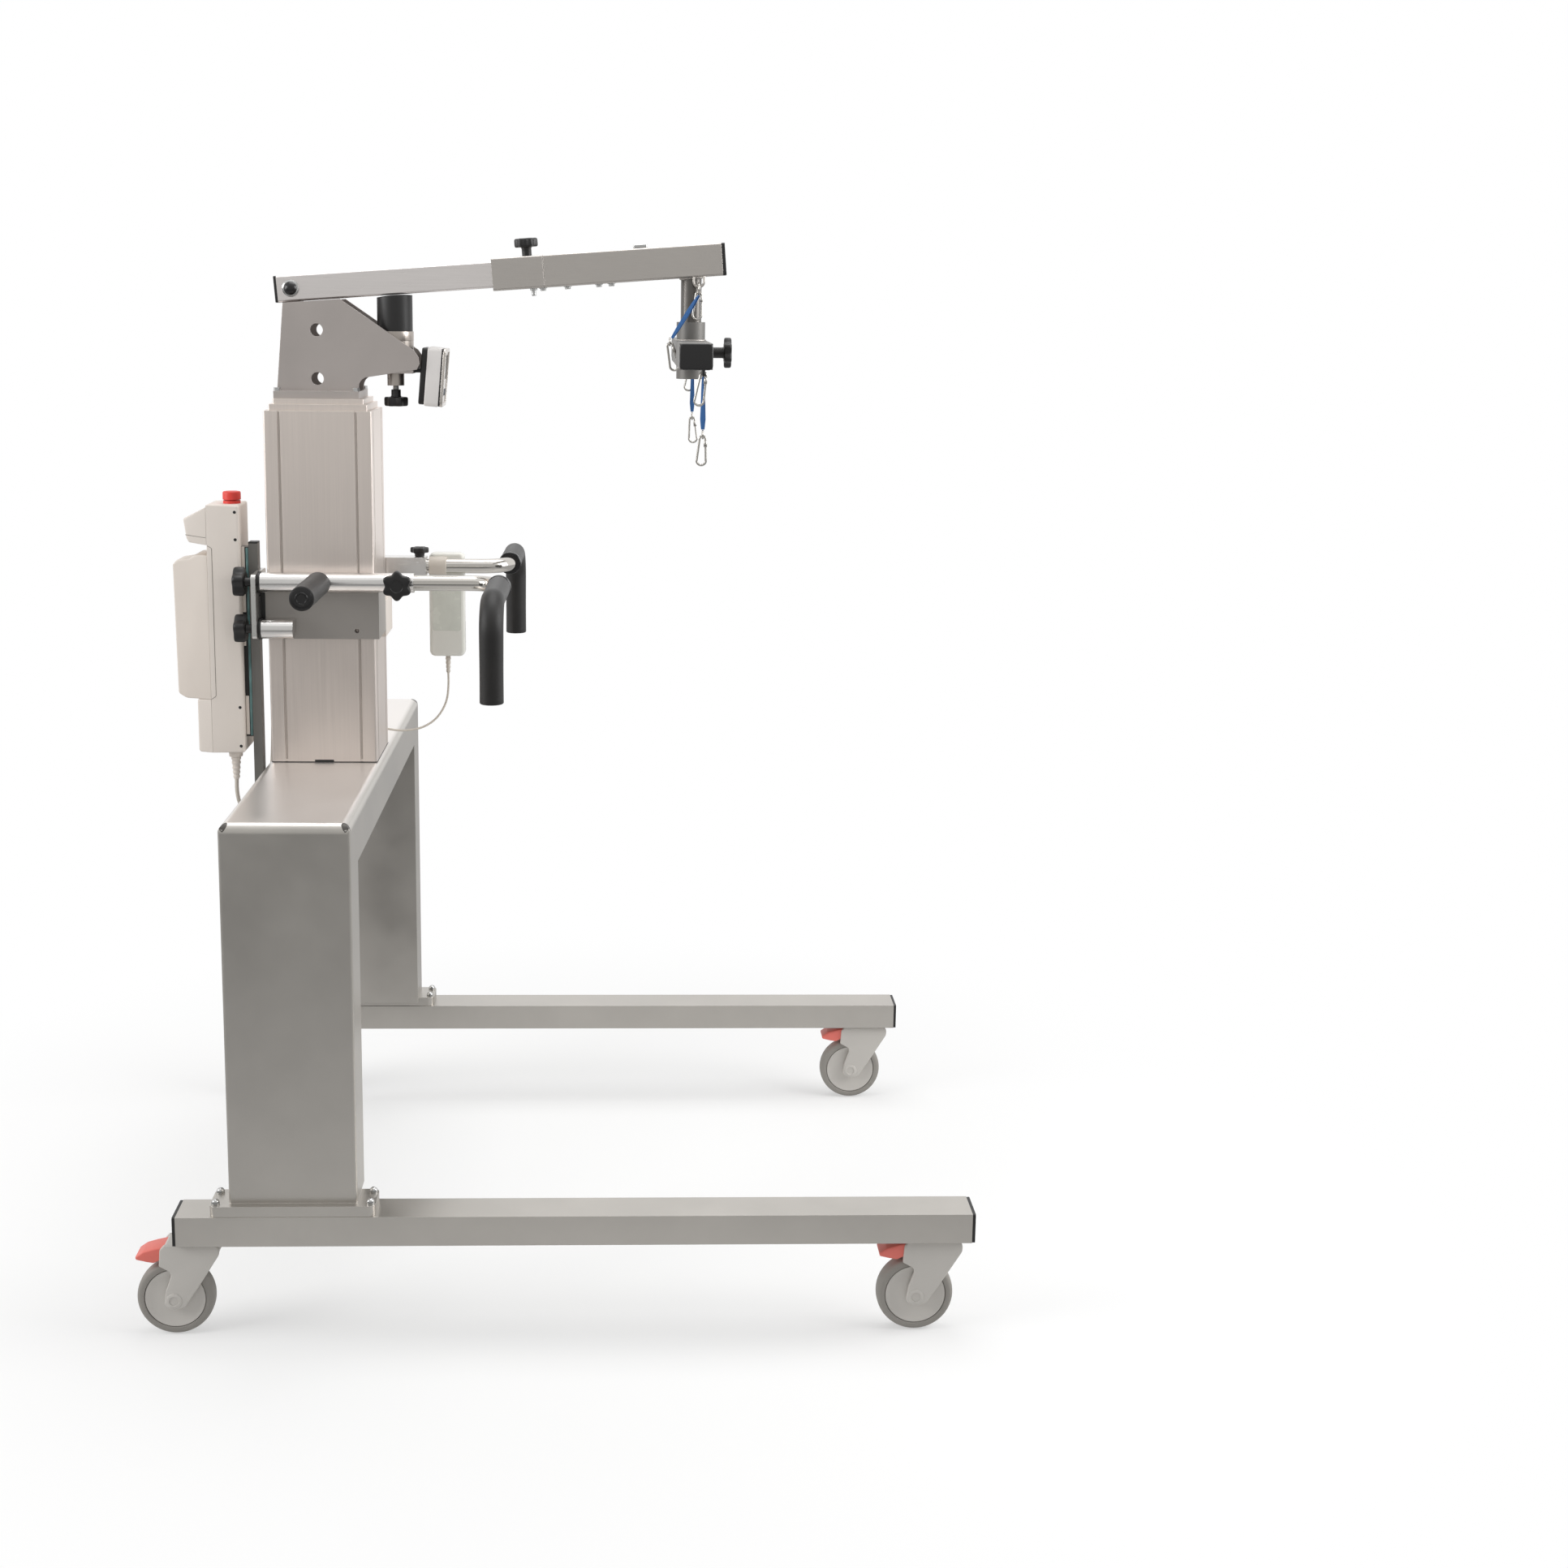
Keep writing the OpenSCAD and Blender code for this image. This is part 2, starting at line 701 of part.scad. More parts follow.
// Pivot pin with a washer and a domed cap on each side of the boom
module pivot_pin() {
    half = boom_in / 2 + face_gap;
    color("#1d1d1d") at_column() translate([pivot_x, 0, pivot_z]) {
        translate([0, -half - 2, 0]) bar_along_y(pin_r, 2 * half + 4);
        for (s = [-1, 1]) rotate([s * 90, 0, 0]) translate([0, 0, half]) {
            cylinder(r = dome_r + 1.7, h = 2);
            translate([0, 0, 2]) intersection() {
                translate([0, 0, -6]) sphere(r = 13.7);
                cylinder(r = dome_r, h = 8);
            }
        }
    }
}

// Cup of the suspension spring, with a threaded neck below its seat
module spring_housing() {
    color("#cfc9c0") at_column() translate([spring_x, 0, 0]) difference() {
        union() {
            translate([0, 0, seat_z + seat_t]) cylinder(r = housing_r, h = housing_top - seat_z - seat_t);
            translate([0, 0, neck_low]) cylinder(r = neck_r, h = seat_z + seat_t - neck_low + 1);
        }
        translate([0, 0, seat_z + seat_t + housing_floor]) cylinder(r = plunger_r + turn_gap,
            h = housing_top);
        translate([0, 0, neck_low - 1]) cylinder(r = preload_r + turn_gap,
            h = seat_z + seat_t + housing_floor);
    }
}

// Spring plunger whose crowned top bears on the underside of the boom
module spring_plunger() {
    crown_z = boom_under(spring_x, boom_in) - 0.5;
    color("#191919") at_column() intersection() {
        translate([spring_x, 0, plunger_low]) cylinder(r = plunger_r, h = crown_z - plunger_low + plunger_r);
        translate([spring_x + crown_r * sin(boom_tilt), 0, crown_z - crown_r * cos(boom_tilt)])
            sphere(r = crown_r, $fn = 96);
    }
}

// Preload screw with its hand knob below the spring's neck
module preload_knob() {
    color("#1d1d1d") at_column() translate([spring_x, 0, neck_low - 7]) rotate([180, 0, 0])
        hand_knob(21, 6, 16, 8.5, neck_low - 7 - knob_low - 16, preload_r, 45);
}

// Display box on an arm at the head's nose
module display() {
    lean = 5;
    back = 10;
    front = 6;
    color("#e6e4e0") at_column() {
        translate([spring_x + 34, -12, seat_z + 1]) cube([24, 24, 8]);
        translate([display_x, display_y, head_z + display_rise]) rotate([0, lean, 0]) {
            translate([-display_t / 2 + back, 0, 0]) rotate([90, 0, 90])
                linear_extrude(display_t - back - front) rrect(display_w, display_h, 6);
            translate([-display_t / 2, 0, 0]) rotate([90, 0, 90])
                linear_extrude(back + 1) rrect(display_w - 6, display_h - 6, 5);
            translate([display_t / 2 - front - 1, 0, 0]) rotate([90, 0, 90])
                linear_extrude(front + 1) rrect(display_w - 4, display_h - 4, 5);
        }
    }
}

// Frame of the boom: origin on the pivot, X along the boom
module on_boom() { at_column() translate([pivot_x, 0, pivot_z]) rotate([0, -boom_tilt, 0]) children(); }

// Square tube with rounded edges along the boom
module boom_tube(x0, x1, side, bore) {
    difference() {
        translate([x0, 0, 0]) rotate([90, 0, 90]) linear_extrude(x1 - x0) rrect(side, side, boom_corner);
        translate([x0 - 1, -bore / 2, -bore / 2]) cube([x1 - x0 + 2, bore, bore]);
    }
}

// Inner boom tube, slotted below for the pivot lug and closed at the rear
module boom_inner() {
    bore = boom_in - 2 * boom_wall;
    color("#b9b4ae") on_boom() difference() {
        union() {
            boom_tube(boom_rear, boom_in_end, boom_in, bore);
            translate([boom_rear - 4, 0, 0]) rotate([90, 0, 90])
                linear_extrude(4) rrect(boom_in, boom_in, boom_corner);
        }
        translate([-lug_r - 4, -lug_half - 1, -boom_in]) cube([2 * lug_r + 8, 2 * lug_half + 2, boom_in]);
        translate([0, -boom_in, 0]) bar_along_y(pin_r + turn_gap, 2 * boom_in);
    }
}

// Outer boom tube that slides on the inner one, with its clamping collar and the sling's eye
module boom_outer() {
    bore = boom_in + 2 * slide_gap;
    color("#a29c95") {
        on_boom() difference() {
            boom_tube(collar_start, boom_len, boom_out, bore);
            translate([collar_end, 0, 0]) difference() {
                cube([1.5, boom_out + 4, boom_out + 4], center = true);
                cube([3, boom_out - 2 * collar_line, boom_out - 2 * collar_line], center = true);
            }
            translate([lock_at, 0, 0]) cylinder(r = knob_screw_r + turn_gap, h = boom_out);
        }
        center_eye();
    }
}

// Cap in the front end of the boom
module boom_end_cap() {
    plug = boom_in - face_gap;
    color("#222222") on_boom() {
        translate([boom_len, 0, 0]) rotate([90, 0, 90])
            linear_extrude(boom_cap) rrect(boom_out, boom_out, boom_corner);
        translate([boom_len - 16, -plug / 2, -plug / 2]) cube([17, plug, plug]);
    }
}

// Star knob on the collar that locks the boom's length
module boom_lock_knob() {
    screw = (boom_out - boom_in) / 2 - face_gap;
    color("#1d1d1d") on_boom() translate([lock_at, 0, boom_out / 2 + face_gap])
        hand_knob(20.5, 6, 15, 8.5, 15.5, knob_screw_r, screw);
}

// Everything above the underside of the outer boom tube, to trim what is welded under it
module above_boom(depth) {
    side = 8 * boom_out;
    on_boom() translate([0, -side / 2, depth - boom_out / 2]) cube([2 * boom_len, side, side]);
}

// Post welded under the boom, with a ring groove for the swivel's screw
module swivel_post() {
    low = spreader_z - sleeve_down + 4;
    color("#6f6d69") difference() {
        at_column() translate([post_x, 0, low]) difference() {
            cylinder(r = post_r, h = pivot_z + boom_out * 2 - low);
            translate([0, 0, spreader_z - low - 8]) difference() {
                cylinder(r = post_r + 1, h = 16);
                translate([0, 0, -1]) cylinder(r = post_r - ring_groove, h = 18);
            }
        }
        above_boom(0);
    }
}

// U shaped eye welded under the boom for the middle sling
module center_eye() {
    difference() {
        at_column() translate([eye_x, eye_y, eye_z + eye_r]) {
            rotate([90, 0, 0]) rotate(180) rotate_extrude(angle = 180) translate([eye_r, 0])
                circle(r = eye_rod);
            for (s = [-1, 1]) translate([s * eye_r, 0, 0]) cylinder(r = eye_rod, h = 30);
        }
        above_boom(1);
    }
}

// Spreader tube with the swivel sleeve through its middle and an eye under each end
module spreader_bar() {
    body = spreader_len - 2 * spreader_cap;
    color("#a9a49d") at_column() translate([post_x, 0, spreader_z]) {
        difference() {
            union() {
                difference() {
                    cube([spreader_w, body, spreader_h], center = true);
                    cube([spreader_w - 2 * spreader_wall, body + 2, spreader_h - 2 * spreader_wall],
                        center = true);
                }
                translate([0, 0, -sleeve_down]) cylinder(r = sleeve_r, h = sleeve_up + sleeve_down);
            }
            translate([0, 0, -sleeve_down - 1]) cylinder(r = post_r + turn_gap,
                h = sleeve_up + sleeve_down + 2);
            bar_along_x(knob_screw_r + turn_gap, spreader_w);
        }
    }
}

// Black end fittings of the spreader, each with an eye that hangs below the tube
module spreader_caps() {
    plug_w = spreader_w - 2 * spreader_wall - 2 * face_gap;
    plug_h = spreader_h - 2 * spreader_wall - 2 * face_gap;
    color("#1b1b1b") at_column() translate([post_x, 0, spreader_z]) for (s = [-1, 1]) {
        translate([0, s * (spreader_len / 2 - spreader_cap / 2), 0]) plate_xz(spreader_cap)
            rrect(spreader_w + 1, spreader_h + 1, 4);
        translate([0, s * (spreader_len / 2 - spreader_cap - 7), 0]) plate_xz(14) rrect(plug_w, plug_h, 2);
        translate([hang_x - post_x, s * hang_y, -spreader_h / 2]) for (t = [-1, 1]) {
            translate([0, t * hang_half, -hang_drop]) cylinder(r = hang_rod, h = hang_drop);
            translate([0, t * hang_half, -hang_drop]) sphere(r = hang_rod);
            translate([0, -hang_half, -hang_drop]) bar_along_y(hang_rod, 2 * hang_half);
        }
    }
}

// Knob that locks the spreader's swivel
module spreader_knob() {
    reach = spreader_w / 2 - post_r + ring_groove - 1;
    color("#1b1b1b") at_column() translate([post_x + spreader_w / 2 + 12, 0, spreader_z]) rotate([0, 90, 0])
        hand_knob(26.5, 6, 13, 9.5, 20, knob_screw_r, 12 + reach);
}

// Oval snap hook in the X and Z plane, hung with the inside of its top at the origin
module snap_hook(l) {
    straight = l - 2 * hook_r - 2 * hook_rod;
    translate([0, 0, hook_rod - hook_r]) {
        rotate([90, 0, 0]) rotate_extrude(angle = 180) translate([hook_r, 0]) circle(r = hook_rod);
        for (s = [-1, 1]) translate([s * hook_r, 0, -straight]) cylinder(r = hook_rod, h = straight);
        translate([0, 0, -straight]) rotate([90, 0, 0]) rotate(180)
            rotate_extrude(angle = 180) translate([hook_r, 0]) circle(r = hook_rod);
    }
}

// Small ring at the lower end of a strap, with a snap hook in it
module ring_and_hook(l) {
    rotate([0, 90, 0]) rotate_extrude() translate([strap_ring_r, 0]) circle(r = strap_ring_rod);
    translate([0, 0, strap_ring_rod + hook_clear - strap_ring_r]) snap_hook(l);
}

// Frame of the middle sling's strap, which leans over the spreader
module on_center_strap() { at_column() translate([eye_x, sling_y, sling_z]) rotate([-sling_side,
    sling_lean, 0]) children(); }

// Webbing strap of the middle sling
module center_strap() {
    color("#3f6fae") on_center_strap() translate([-strap_t / 2, -2.5, -sling_len]) cube([strap_t, 5,
        sling_len]);
}

// Link ring, short hook and strap hook of the middle sling
module center_hooks() {
    color("#c4c2be") {
        at_column() translate([eye_x, link_y, link_z]) rotate([0, 90, 0])
            rotate_extrude() translate([link_r, 0]) circle(r = link_rod);
        at_column() translate([eye_x, link_y + 1.2, link_z - link_r + link_rod + hook_clear])
            snap_hook(hook_len);
        at_column() translate(sling_ring) ring_and_hook(hook_len);
    }
}

// Straps that hang from the two ends of the spreader
module spreader_straps() {
    top = spreader_z - spreader_h / 2 - hang_drop - hang_rod - hook_clear;
    color("#3f6fae") at_column() for (s = [-1, 1])
        translate([hang_x - strap_t / 2, s * hang_y - s * 5 - strap_w / 2, top - strap_len]) cube([strap_t,
            strap_w, strap_len]);
}

// Short hooks and strap hooks at the two ends of the spreader
module spreader_hooks() {
    rod_z = spreader_z - spreader_h / 2 - hang_drop;
    strap_low = rod_z - hang_rod - hook_clear - strap_len;
    color("#c4c2be") at_column() for (s = [-1, 1]) {
        translate([hang_x, s * (hang_y + 8), rod_z + hang_rod + hook_clear]) snap_hook(hook_len + 6);
        translate([hang_x, s * (hang_y - 5), strap_low - strap_ring_r - strap_ring_rod - hook_clear])
            ring_and_hook(hook_len);
    }
}

// Sheet metal housing of the handle clamp, round the front of the column
module clamp_housing() {
    low = handle_z - clamp_drop;
    high = handle_z - socket_r - 3;
    color("#8d8882") at_column() difference() {
        translate([0, 0, low]) linear_extrude(high - low) difference() {
            translate([-clamp_side, -clamp_front]) square([2 * clamp_side, clamp_front - 0.5]);
            square([col_w, col_d], center = true);
        }
        translate([accessory_x, -clamp_front - 1, handle_z - accessory_drop]) bar_along_y(accessory_r, 60);
    }
}

// Rear half of the handle clamp
module clamp_rear_half() {
    color("#d5cdc3") at_column() translate([0, 0, handle_z - rear_drop]) linear_extrude(rear_h) difference() {
        translate([-clamp_side, 0.5]) square([2 * clamp_side, clamp_front - 0.5]);
        square([col_w, col_d], center = true);
    }
}

// Aluminium plate that carries the socket tubes and the mast
module clamp_plate() {
    mid_y = (plate_y0 + plate_y1) / 2;
    mid_z = (plate_z0 + plate_z1) / 2;
    color("#bdbbb7") at_column() translate([-clamp_side - plate_t, 0, 0]) difference() {
        translate([0, mid_y, mid_z]) rotate([90, 0, 90]) linear_extrude(plate_t) rrect(plate_y1 - plate_y0,
            plate_z1 - plate_z0, 8);
        for (z = [handle_z, handle_z - stub_drop])
            translate([-1, -handle_y, z]) bar_along_x(knob_screw_r + turn_gap, plate_t + 2);
    }
}

// Socket tubes of the handles: the long one, the short stub, the far block and its carrier
module handle_sockets() {
    screw_depth = 30;
    tube_x0 = -clamp_side;
    color("#b5b4b1") at_column() {
        difference() {
            union() {
                translate([tube_x0, -handle_y, handle_z]) bar_along_x(socket_r, socket_x1 - tube_x0);
                translate([stub_grip_x, stub_grip_end + 4, handle_z]) bar_along_y(stub_rod_r,
                    -handle_y - stub_grip_end - 4);
            }
            translate([bar_x0 - bar_room, -handle_y, handle_z]) bar_along_x(bar_r + turn_gap,
                socket_x1 - bar_x0 + bar_room + 1);
            translate([tube_x0 - 1, -handle_y, handle_z]) bar_along_x(knob_screw_r + turn_gap, screw_depth);
            translate([star_near_x, -handle_y - 2 * socket_r, handle_z]) bar_along_y(knob_screw_r + turn_gap,
                2 * socket_r);
        }
        difference() {
            translate([tube_x0, -handle_y, handle_z - stub_drop]) bar_along_x(socket_r, stub_x1 - tube_x0);
            translate([tube_x0 - 1, -handle_y, handle_z - stub_drop]) bar_along_x(knob_screw_r + turn_gap,
                screw_depth);
        }
        difference() {
            union() {
                translate([block_x0, clamp_front, handle_z - block_h / 2]) cube([block_x1 - block_x0,
                    2 * (handle_y - clamp_front), block_h]);
                translate([carrier_x0, clamp_front, handle_z - carrier_drop])
                    cube([carrier_x1 - carrier_x0, carrier_t, carrier_drop]);
            }
            translate([bar_x0 - bar_room, handle_y, handle_z]) bar_along_x(bar_r + turn_gap,
                block_x1 - bar_x0 + bar_room + 1);
            translate([star_far_x, handle_y, handle_z]) cylinder(r = knob_screw_r + turn_gap, h = block_h);
        }
    }
}

// Foam sleeve on the short handle that points sideways
module stub_grip() {
    start = handle_y + socket_r + face_gap;
    color("#3a3937") at_column() translate([stub_grip_x, 0, handle_z]) difference() {
        translate([0, stub_grip_end, 0]) bar_along_y(stub_foam_r, -stub_grip_end - start);
        translate([0, stub_grip_end - 1, 0]) bar_along_y(stub_rod_r + turn_gap, -stub_grip_end);
    }
}

// Hand knob that draws a socket tube against the plate, at the given height
module clamp_knob(z, r) {
    color("#232323") at_column() translate([-clamp_side - plate_t - face_gap, -handle_y, z]) rotate([0,
        -90, 0])
        hand_knob(r, 5, 20, 8, 13.5, knob_screw_r, plate_t + 24);
}
module clamp_knob_upper() { clamp_knob(handle_z, 26.5); }
module clamp_knob_lower() { clamp_knob(handle_z - stub_drop, 25.5); }

// Star knob that locks the near handle bar
module star_knob_near() {
    color("#1f1f1f") at_column() translate([star_near_x, -handle_y - socket_r - face_gap, handle_z])
        rotate([90, 0, 0])
        hand_knob(26, 6, 16, 9, 14, knob_screw_r, socket_r - bar_r);
}

// Star knob that locks the far handle bar
module star_knob_far() {
    color("#1f1f1f") at_column() translate([star_far_x, handle_y, handle_z + block_h / 2 + face_gap])
        hand_knob(17, 6, 10, 9, 7, knob_screw_r, block_h / 2 - bar_r);
}

// Bent round bar: along X, outwards along Y, then down; cut_y trims its start on the second leg
module bent_bar(r, drop, cut_y) {
    out_end = grip_y - handle_y - bend_r;
    if (cut_y == 0) {
        translate([bar_x0, 0, 0]) bar_along_x(r, bend_x - bar_x0);
        translate([bend_x, bend_r, 0]) rotate(-90) rotate_extrude(angle = 90) translate([bend_r, 0])
            circle(r = r);
    }
    start = max(cut_y, bend_r);
    translate([grip_x, start, 0]) bar_along_y(r, out_end - start);
    translate([grip_x, out_end, -bend_r]) rotate([90, 0, 90]) rotate_extrude(angle = 90) translate([bend_r,
        0]) circle(r = r);
    translate([grip_x, out_end + bend_r, -drop]) cylinder(r = r, h = drop - bend_r);
}

// Chromed handle bar on the given side
module handlebar(s) {
    color("#cfc7ba") at_column() translate([0, s * handle_y, handle_z]) mirror([0, s < 0 ? 1 : 0, 0])
        bent_bar(bar_r, bar_drop - 2, 0);
}
module handlebar_near() { handlebar(-1); }
module handlebar_far() { handlebar(1); }

// Foam grip on a handle bar
module grip(s) {
    color("#262422") at_column() translate([0, s * handle_y, handle_z]) mirror([0, s < 0 ? 1 : 0, 0])
        difference() {
        bent_bar(foam_r, bar_drop, foam_start);
        bent_bar(bar_r + turn_gap, bar_drop - 2, bend_r - 1);
    }
}
module grip_near() { grip(-1); }
module grip_far() { grip(1); }

// Mast bar behind the clamp plate, with the strip that carries the control box
module mast_bar() {
    color("#6d6c69") at_column() {
        translate([mast_x0, mast_y - mast_half, mast_low]) cube([mast_t, 2 * mast_half, mast_top - mast_low]);
        translate([box_x1, mast_y - strip_half, box_low + strip_rise])
            cube([mast_x0 - box_x1 + 1, 2 * strip_half, strip_h]);
    }
}

// Outline of the control box, with its beak above the battery's finger gap
module box_outline() {
    polygon([[box_x1, box_low], [box_foot_x, box_low], [box_foot_x, battery_low - face_gap],
        [battery_x1 + face_gap, battery_low - face_gap], [battery_x1 + face_gap, battery_top + throat_h],
        [throat_x, battery_top + beak_low], [beak_in_x, battery_top + beak_sole], [beak_lip_x,
            battery_top + beak_lip],
        [beak_x, battery_top + beak_tip], [beak_roof_x, box_top], [box_x1, box_top]]);
}

// Plan of box and battery, which narrows evenly towards the battery's back; inset draws its sides in
module box_plan(inset) {
    half = (box_y1 - box_y0) / 2 - inset;
    translate([0, (box_y0 + box_y1) / 2, box_low]) linear_extrude(box_h) polygon([[box_x1, -half], [box_x1,
        half],
        [battery_x1, half], [battery_x0, box_taper * half], [battery_x0, -box_taper * half], [battery_x1,
            -half]]);
}

// Control box with a stepped cable gland below it
module control_box() {
    mid = (box_y0 + box_y1) / 2;
    color("#cdc4b9") at_column() difference() {
        union() {
            intersection() {
                translate([0, mid, 0]) plate_xz(box_y1 - box_y0) box_outline();
                box_plan(0);
            }
            translate([gland_x, gland_y, box_low - gland_h]) cylinder(r = gland_r, h = gland_h + 1);
            translate([gland_x, gland_y, portal_top - 2 * gland_h]) cylinder(r = relief_r,
                h = 2 * gland_h + 4);
        }
        translate([button_x, button_y, box_top - 14]) cylinder(r = 8 + turn_gap, h = 20);
    }
}

// Clip-on battery with a finger lip at its top
module battery() {
    mid = (box_y0 + box_y1) / 2;
    color("#d6cec4") at_column() intersection() {
        translate([0, mid, 0]) plate_xz(box_y1 - box_y0) polygon([[battery_x1, battery_low], [cell_foot_x,
            battery_low],
            [cell_back_x, battery_low + cell_chamfer], [battery_x0, battery_top - cell_chamfer],
                [cell_crown_x, battery_top],
            [cell_lip_x, battery_top + cell_rim / 2], [cell_step_x, battery_top + cell_rim], [cell_rim_x,
                battery_top + cell_rim],
            [battery_x1, battery_top + cell_rim / 2]]);
        box_plan(cell_inset);
    }
}

// Emergency stop button on top of the control box
module emergency_button() {
    travel = 5;
    color("#d5443a") at_column() translate([button_x, button_y, box_top]) {
        translate([0, 0, -8]) cylinder(r = 8, h = 8 + travel + 1);
        translate([0, 0, travel]) cylinder(r = button_r, h = button_h);
    }
}

// Cable from the control box round the portal's back edge and into the column
module control_cable() {
    route = [for (p = control_route) p + [0, 0, portal_top]];
    color("#c9c1b6") at_column() cord(smooth(route, 2), control_r, 10, [0.6, -0.8, 0]);
}

// Handset that hangs by its hook on the far handle bar
module handset() {
    hook_t = 4;
    opening = bar_r + face_gap + 0.1;
    color("#c9c8c2") at_column() {
        difference() {
            translate([handset_x, handset_y0 + handset_t / 2, (handset_top + handset_low) / 2])
                plate_xz(handset_t) rrect(handset_w, handset_top - handset_low, 9);
            translate([handset_x, handset_y0 + handset_t, key_z]) cube([key_w, 2 * key_pocket, key_h],
                center = true);
        }
        translate([hook_x0, 0, handle_z]) rotate([90, 0, 90]) linear_extrude(hook_x1 - hook_x0) difference() {
            translate([handle_y - opening - hook_t, -opening])
                square([handset_y0 - handle_y + opening + hook_t + 2, 2 * opening + hook_t]);
            translate([handle_y, 0]) circle(r = opening);
            translate([handle_y - opening, -2 * opening]) square([2 * opening, 2 * opening]);
        }
        translate([handset_x, 148, handset_low - relief_h]) cylinder(r1 = 3.2, r2 = 5, h = relief_h + 2);
    }
}

// Rocking key on the far face of the handset
module handset_keys() {
    depth = key_pocket;
    color("#4a4d52") at_column() translate([handset_x, handset_y0 + handset_t + key_proud - depth / 2, key_z])
        cube([key_w - 2 * turn_gap, depth, key_h - 2 * turn_gap], center = true);
}

// Thin cable from the handset round to the back of the column
module handset_cable() {
    route = [for (p = handset_route) p + [0, 0, portal_top]];
    color("#a9a49c") at_column() cord(smooth(route, 3), handset_r, 8, [0.6, -0.8, 0]);
}

rails();
rail_end_caps();
portal();
foot_bolts();
fork(0, -1);  // fork_rear_near
fork(0, 1);  // fork_rear_far
fork(1, -1);  // fork_front_near
fork(1, 1);  // fork_front_far
wheel(0, -1);  // wheel_rear_near
wheel(0, 1);  // wheel_rear_far
wheel(1, -1);  // wheel_front_near
wheel(1, 1);  // wheel_front_far
pedal(0, -1);  // pedal_rear_near
pedal(0, 1);  // pedal_rear_far
pedal(1, -1);  // pedal_front_near
pedal(1, 1);  // pedal_front_far
column_outer();
lift_drive();
column_mid();
column_inner();
head_bracket();
head_bolts();
pivot_pin();
spring_housing();
spring_plunger();
preload_knob();
display();
boom_inner();
boom_outer();
boom_end_cap();
boom_lock_knob();
swivel_post();
spreader_bar();
spreader_caps();
spreader_knob();
center_strap();
center_hooks();
spreader_straps();
spreader_hooks();
clamp_housing();
clamp_rear_half();
clamp_plate();
handle_sockets();
stub_grip();
clamp_knob_upper();
clamp_knob_lower();
star_knob_near();
star_knob_far();
handlebar_near();
grip_near();
handlebar_far();
grip_far();
mast_bar();
control_box();
battery();
emergency_button();
control_cable();
handset();
handset_keys();
handset_cable();
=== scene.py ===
import json

import bmesh
import bpy
import numpy as np
from mathutils import Matrix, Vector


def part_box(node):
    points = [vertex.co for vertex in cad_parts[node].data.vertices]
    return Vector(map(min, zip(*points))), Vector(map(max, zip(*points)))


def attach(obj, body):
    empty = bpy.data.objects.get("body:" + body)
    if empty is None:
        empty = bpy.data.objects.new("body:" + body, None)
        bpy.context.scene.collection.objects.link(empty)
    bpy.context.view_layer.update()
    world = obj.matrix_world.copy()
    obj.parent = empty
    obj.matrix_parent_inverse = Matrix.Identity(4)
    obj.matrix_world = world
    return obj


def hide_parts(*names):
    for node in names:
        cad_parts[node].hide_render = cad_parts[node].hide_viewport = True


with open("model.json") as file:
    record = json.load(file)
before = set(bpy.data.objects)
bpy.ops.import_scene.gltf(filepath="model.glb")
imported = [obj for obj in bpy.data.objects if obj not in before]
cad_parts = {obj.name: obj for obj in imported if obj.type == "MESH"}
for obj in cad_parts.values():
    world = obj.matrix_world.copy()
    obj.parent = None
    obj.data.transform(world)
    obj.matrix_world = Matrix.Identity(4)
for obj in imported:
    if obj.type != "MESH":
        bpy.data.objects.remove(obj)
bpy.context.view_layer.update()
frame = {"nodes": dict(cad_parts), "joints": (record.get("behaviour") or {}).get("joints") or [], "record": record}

nodes = frame["nodes"]
scene = bpy.context.scene

# Sizes are millimetres, measured from the column's axis on the floor; add_piece turns them into metres.
METRES = 0.001


def corners_of(node, start=0):
    """The lowest and the highest corner of a solid, in millimetres from a start."""
    return np.round(np.array(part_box(node)) / METRES, 2) - start


column_low, column_high = corners_of("column_outer")
COLUMN = (column_low + column_high) / 2 * (1, 1, 0)
COLUMN_HALF_X, COLUMN_HALF_Y, _ = (column_high - column_low) / 2
PORTAL_TOP = corners_of("portal")[1, 2]

# The places of the hinges, each by the body that turns on it
HINGES = {joint["child"]: np.round(np.array(joint["pos_m"]) / METRES, 3) - COLUMN
          for joint in frame["joints"] if "pos_m" in joint}
PIVOT = HINGES["boom"]
TILT = np.radians(4.4)
BOOM_HALF = corners_of("boom_outer")[1, 1]
SUSPENSION_X, _, HEAD_TOP = HINGES["preload"]
SPREADER = HINGES["spreader"].round(1)
SLING_X, _, EYE_Z = HINGES["spreader_slings"].round(1)

_, near_y, HANDLE_Z = HINGES["clamp_screw_upper"]
HANDLE_Y = -near_y
SOCKET_DROP = HANDLE_Z - HINGES["clamp_screw_lower"][2]
BAR_RADIUS = 13.5
GRIP_X = corners_of("handlebar_near", COLUMN)[1, 0] - BAR_RADIUS
HANDSET_X = corners_of("handset", COLUMN)[:, 0].mean()

box_low, box_high = corners_of("control_box", COLUMN)
cell_low, cell_high = corners_of("battery", COLUMN)
GLAND_LENGTH = 54
CATCH_HEIGHT = 10
BOX_LOW = box_low[2] + GLAND_LENGTH
BOX_TOP = box_high[2]
BOX_FRONT_X = box_high[0]
BOX_BACK_X = cell_high[0]
BOX_SIDES = (box_low[1], box_high[1])
CELL_LOW = cell_low[2]
CELL_TOP = cell_high[2] - CATCH_HEIGHT
CELL_END_X = cell_low[0]

CASTERS = {name: HINGES["caster_" + name] * (1, 1, 0)
           for name in ("rear_near", "rear_far", "front_near", "front_far")}
AXLE = HINGES["caster_wheel_rear_near"] - CASTERS["rear_near"]
X_AXIS, Y_AXIS, Z_AXIS = np.eye(3)
CORNER_STEPS = 5
SIDES = (-1, 1)


# Curves and surfaces

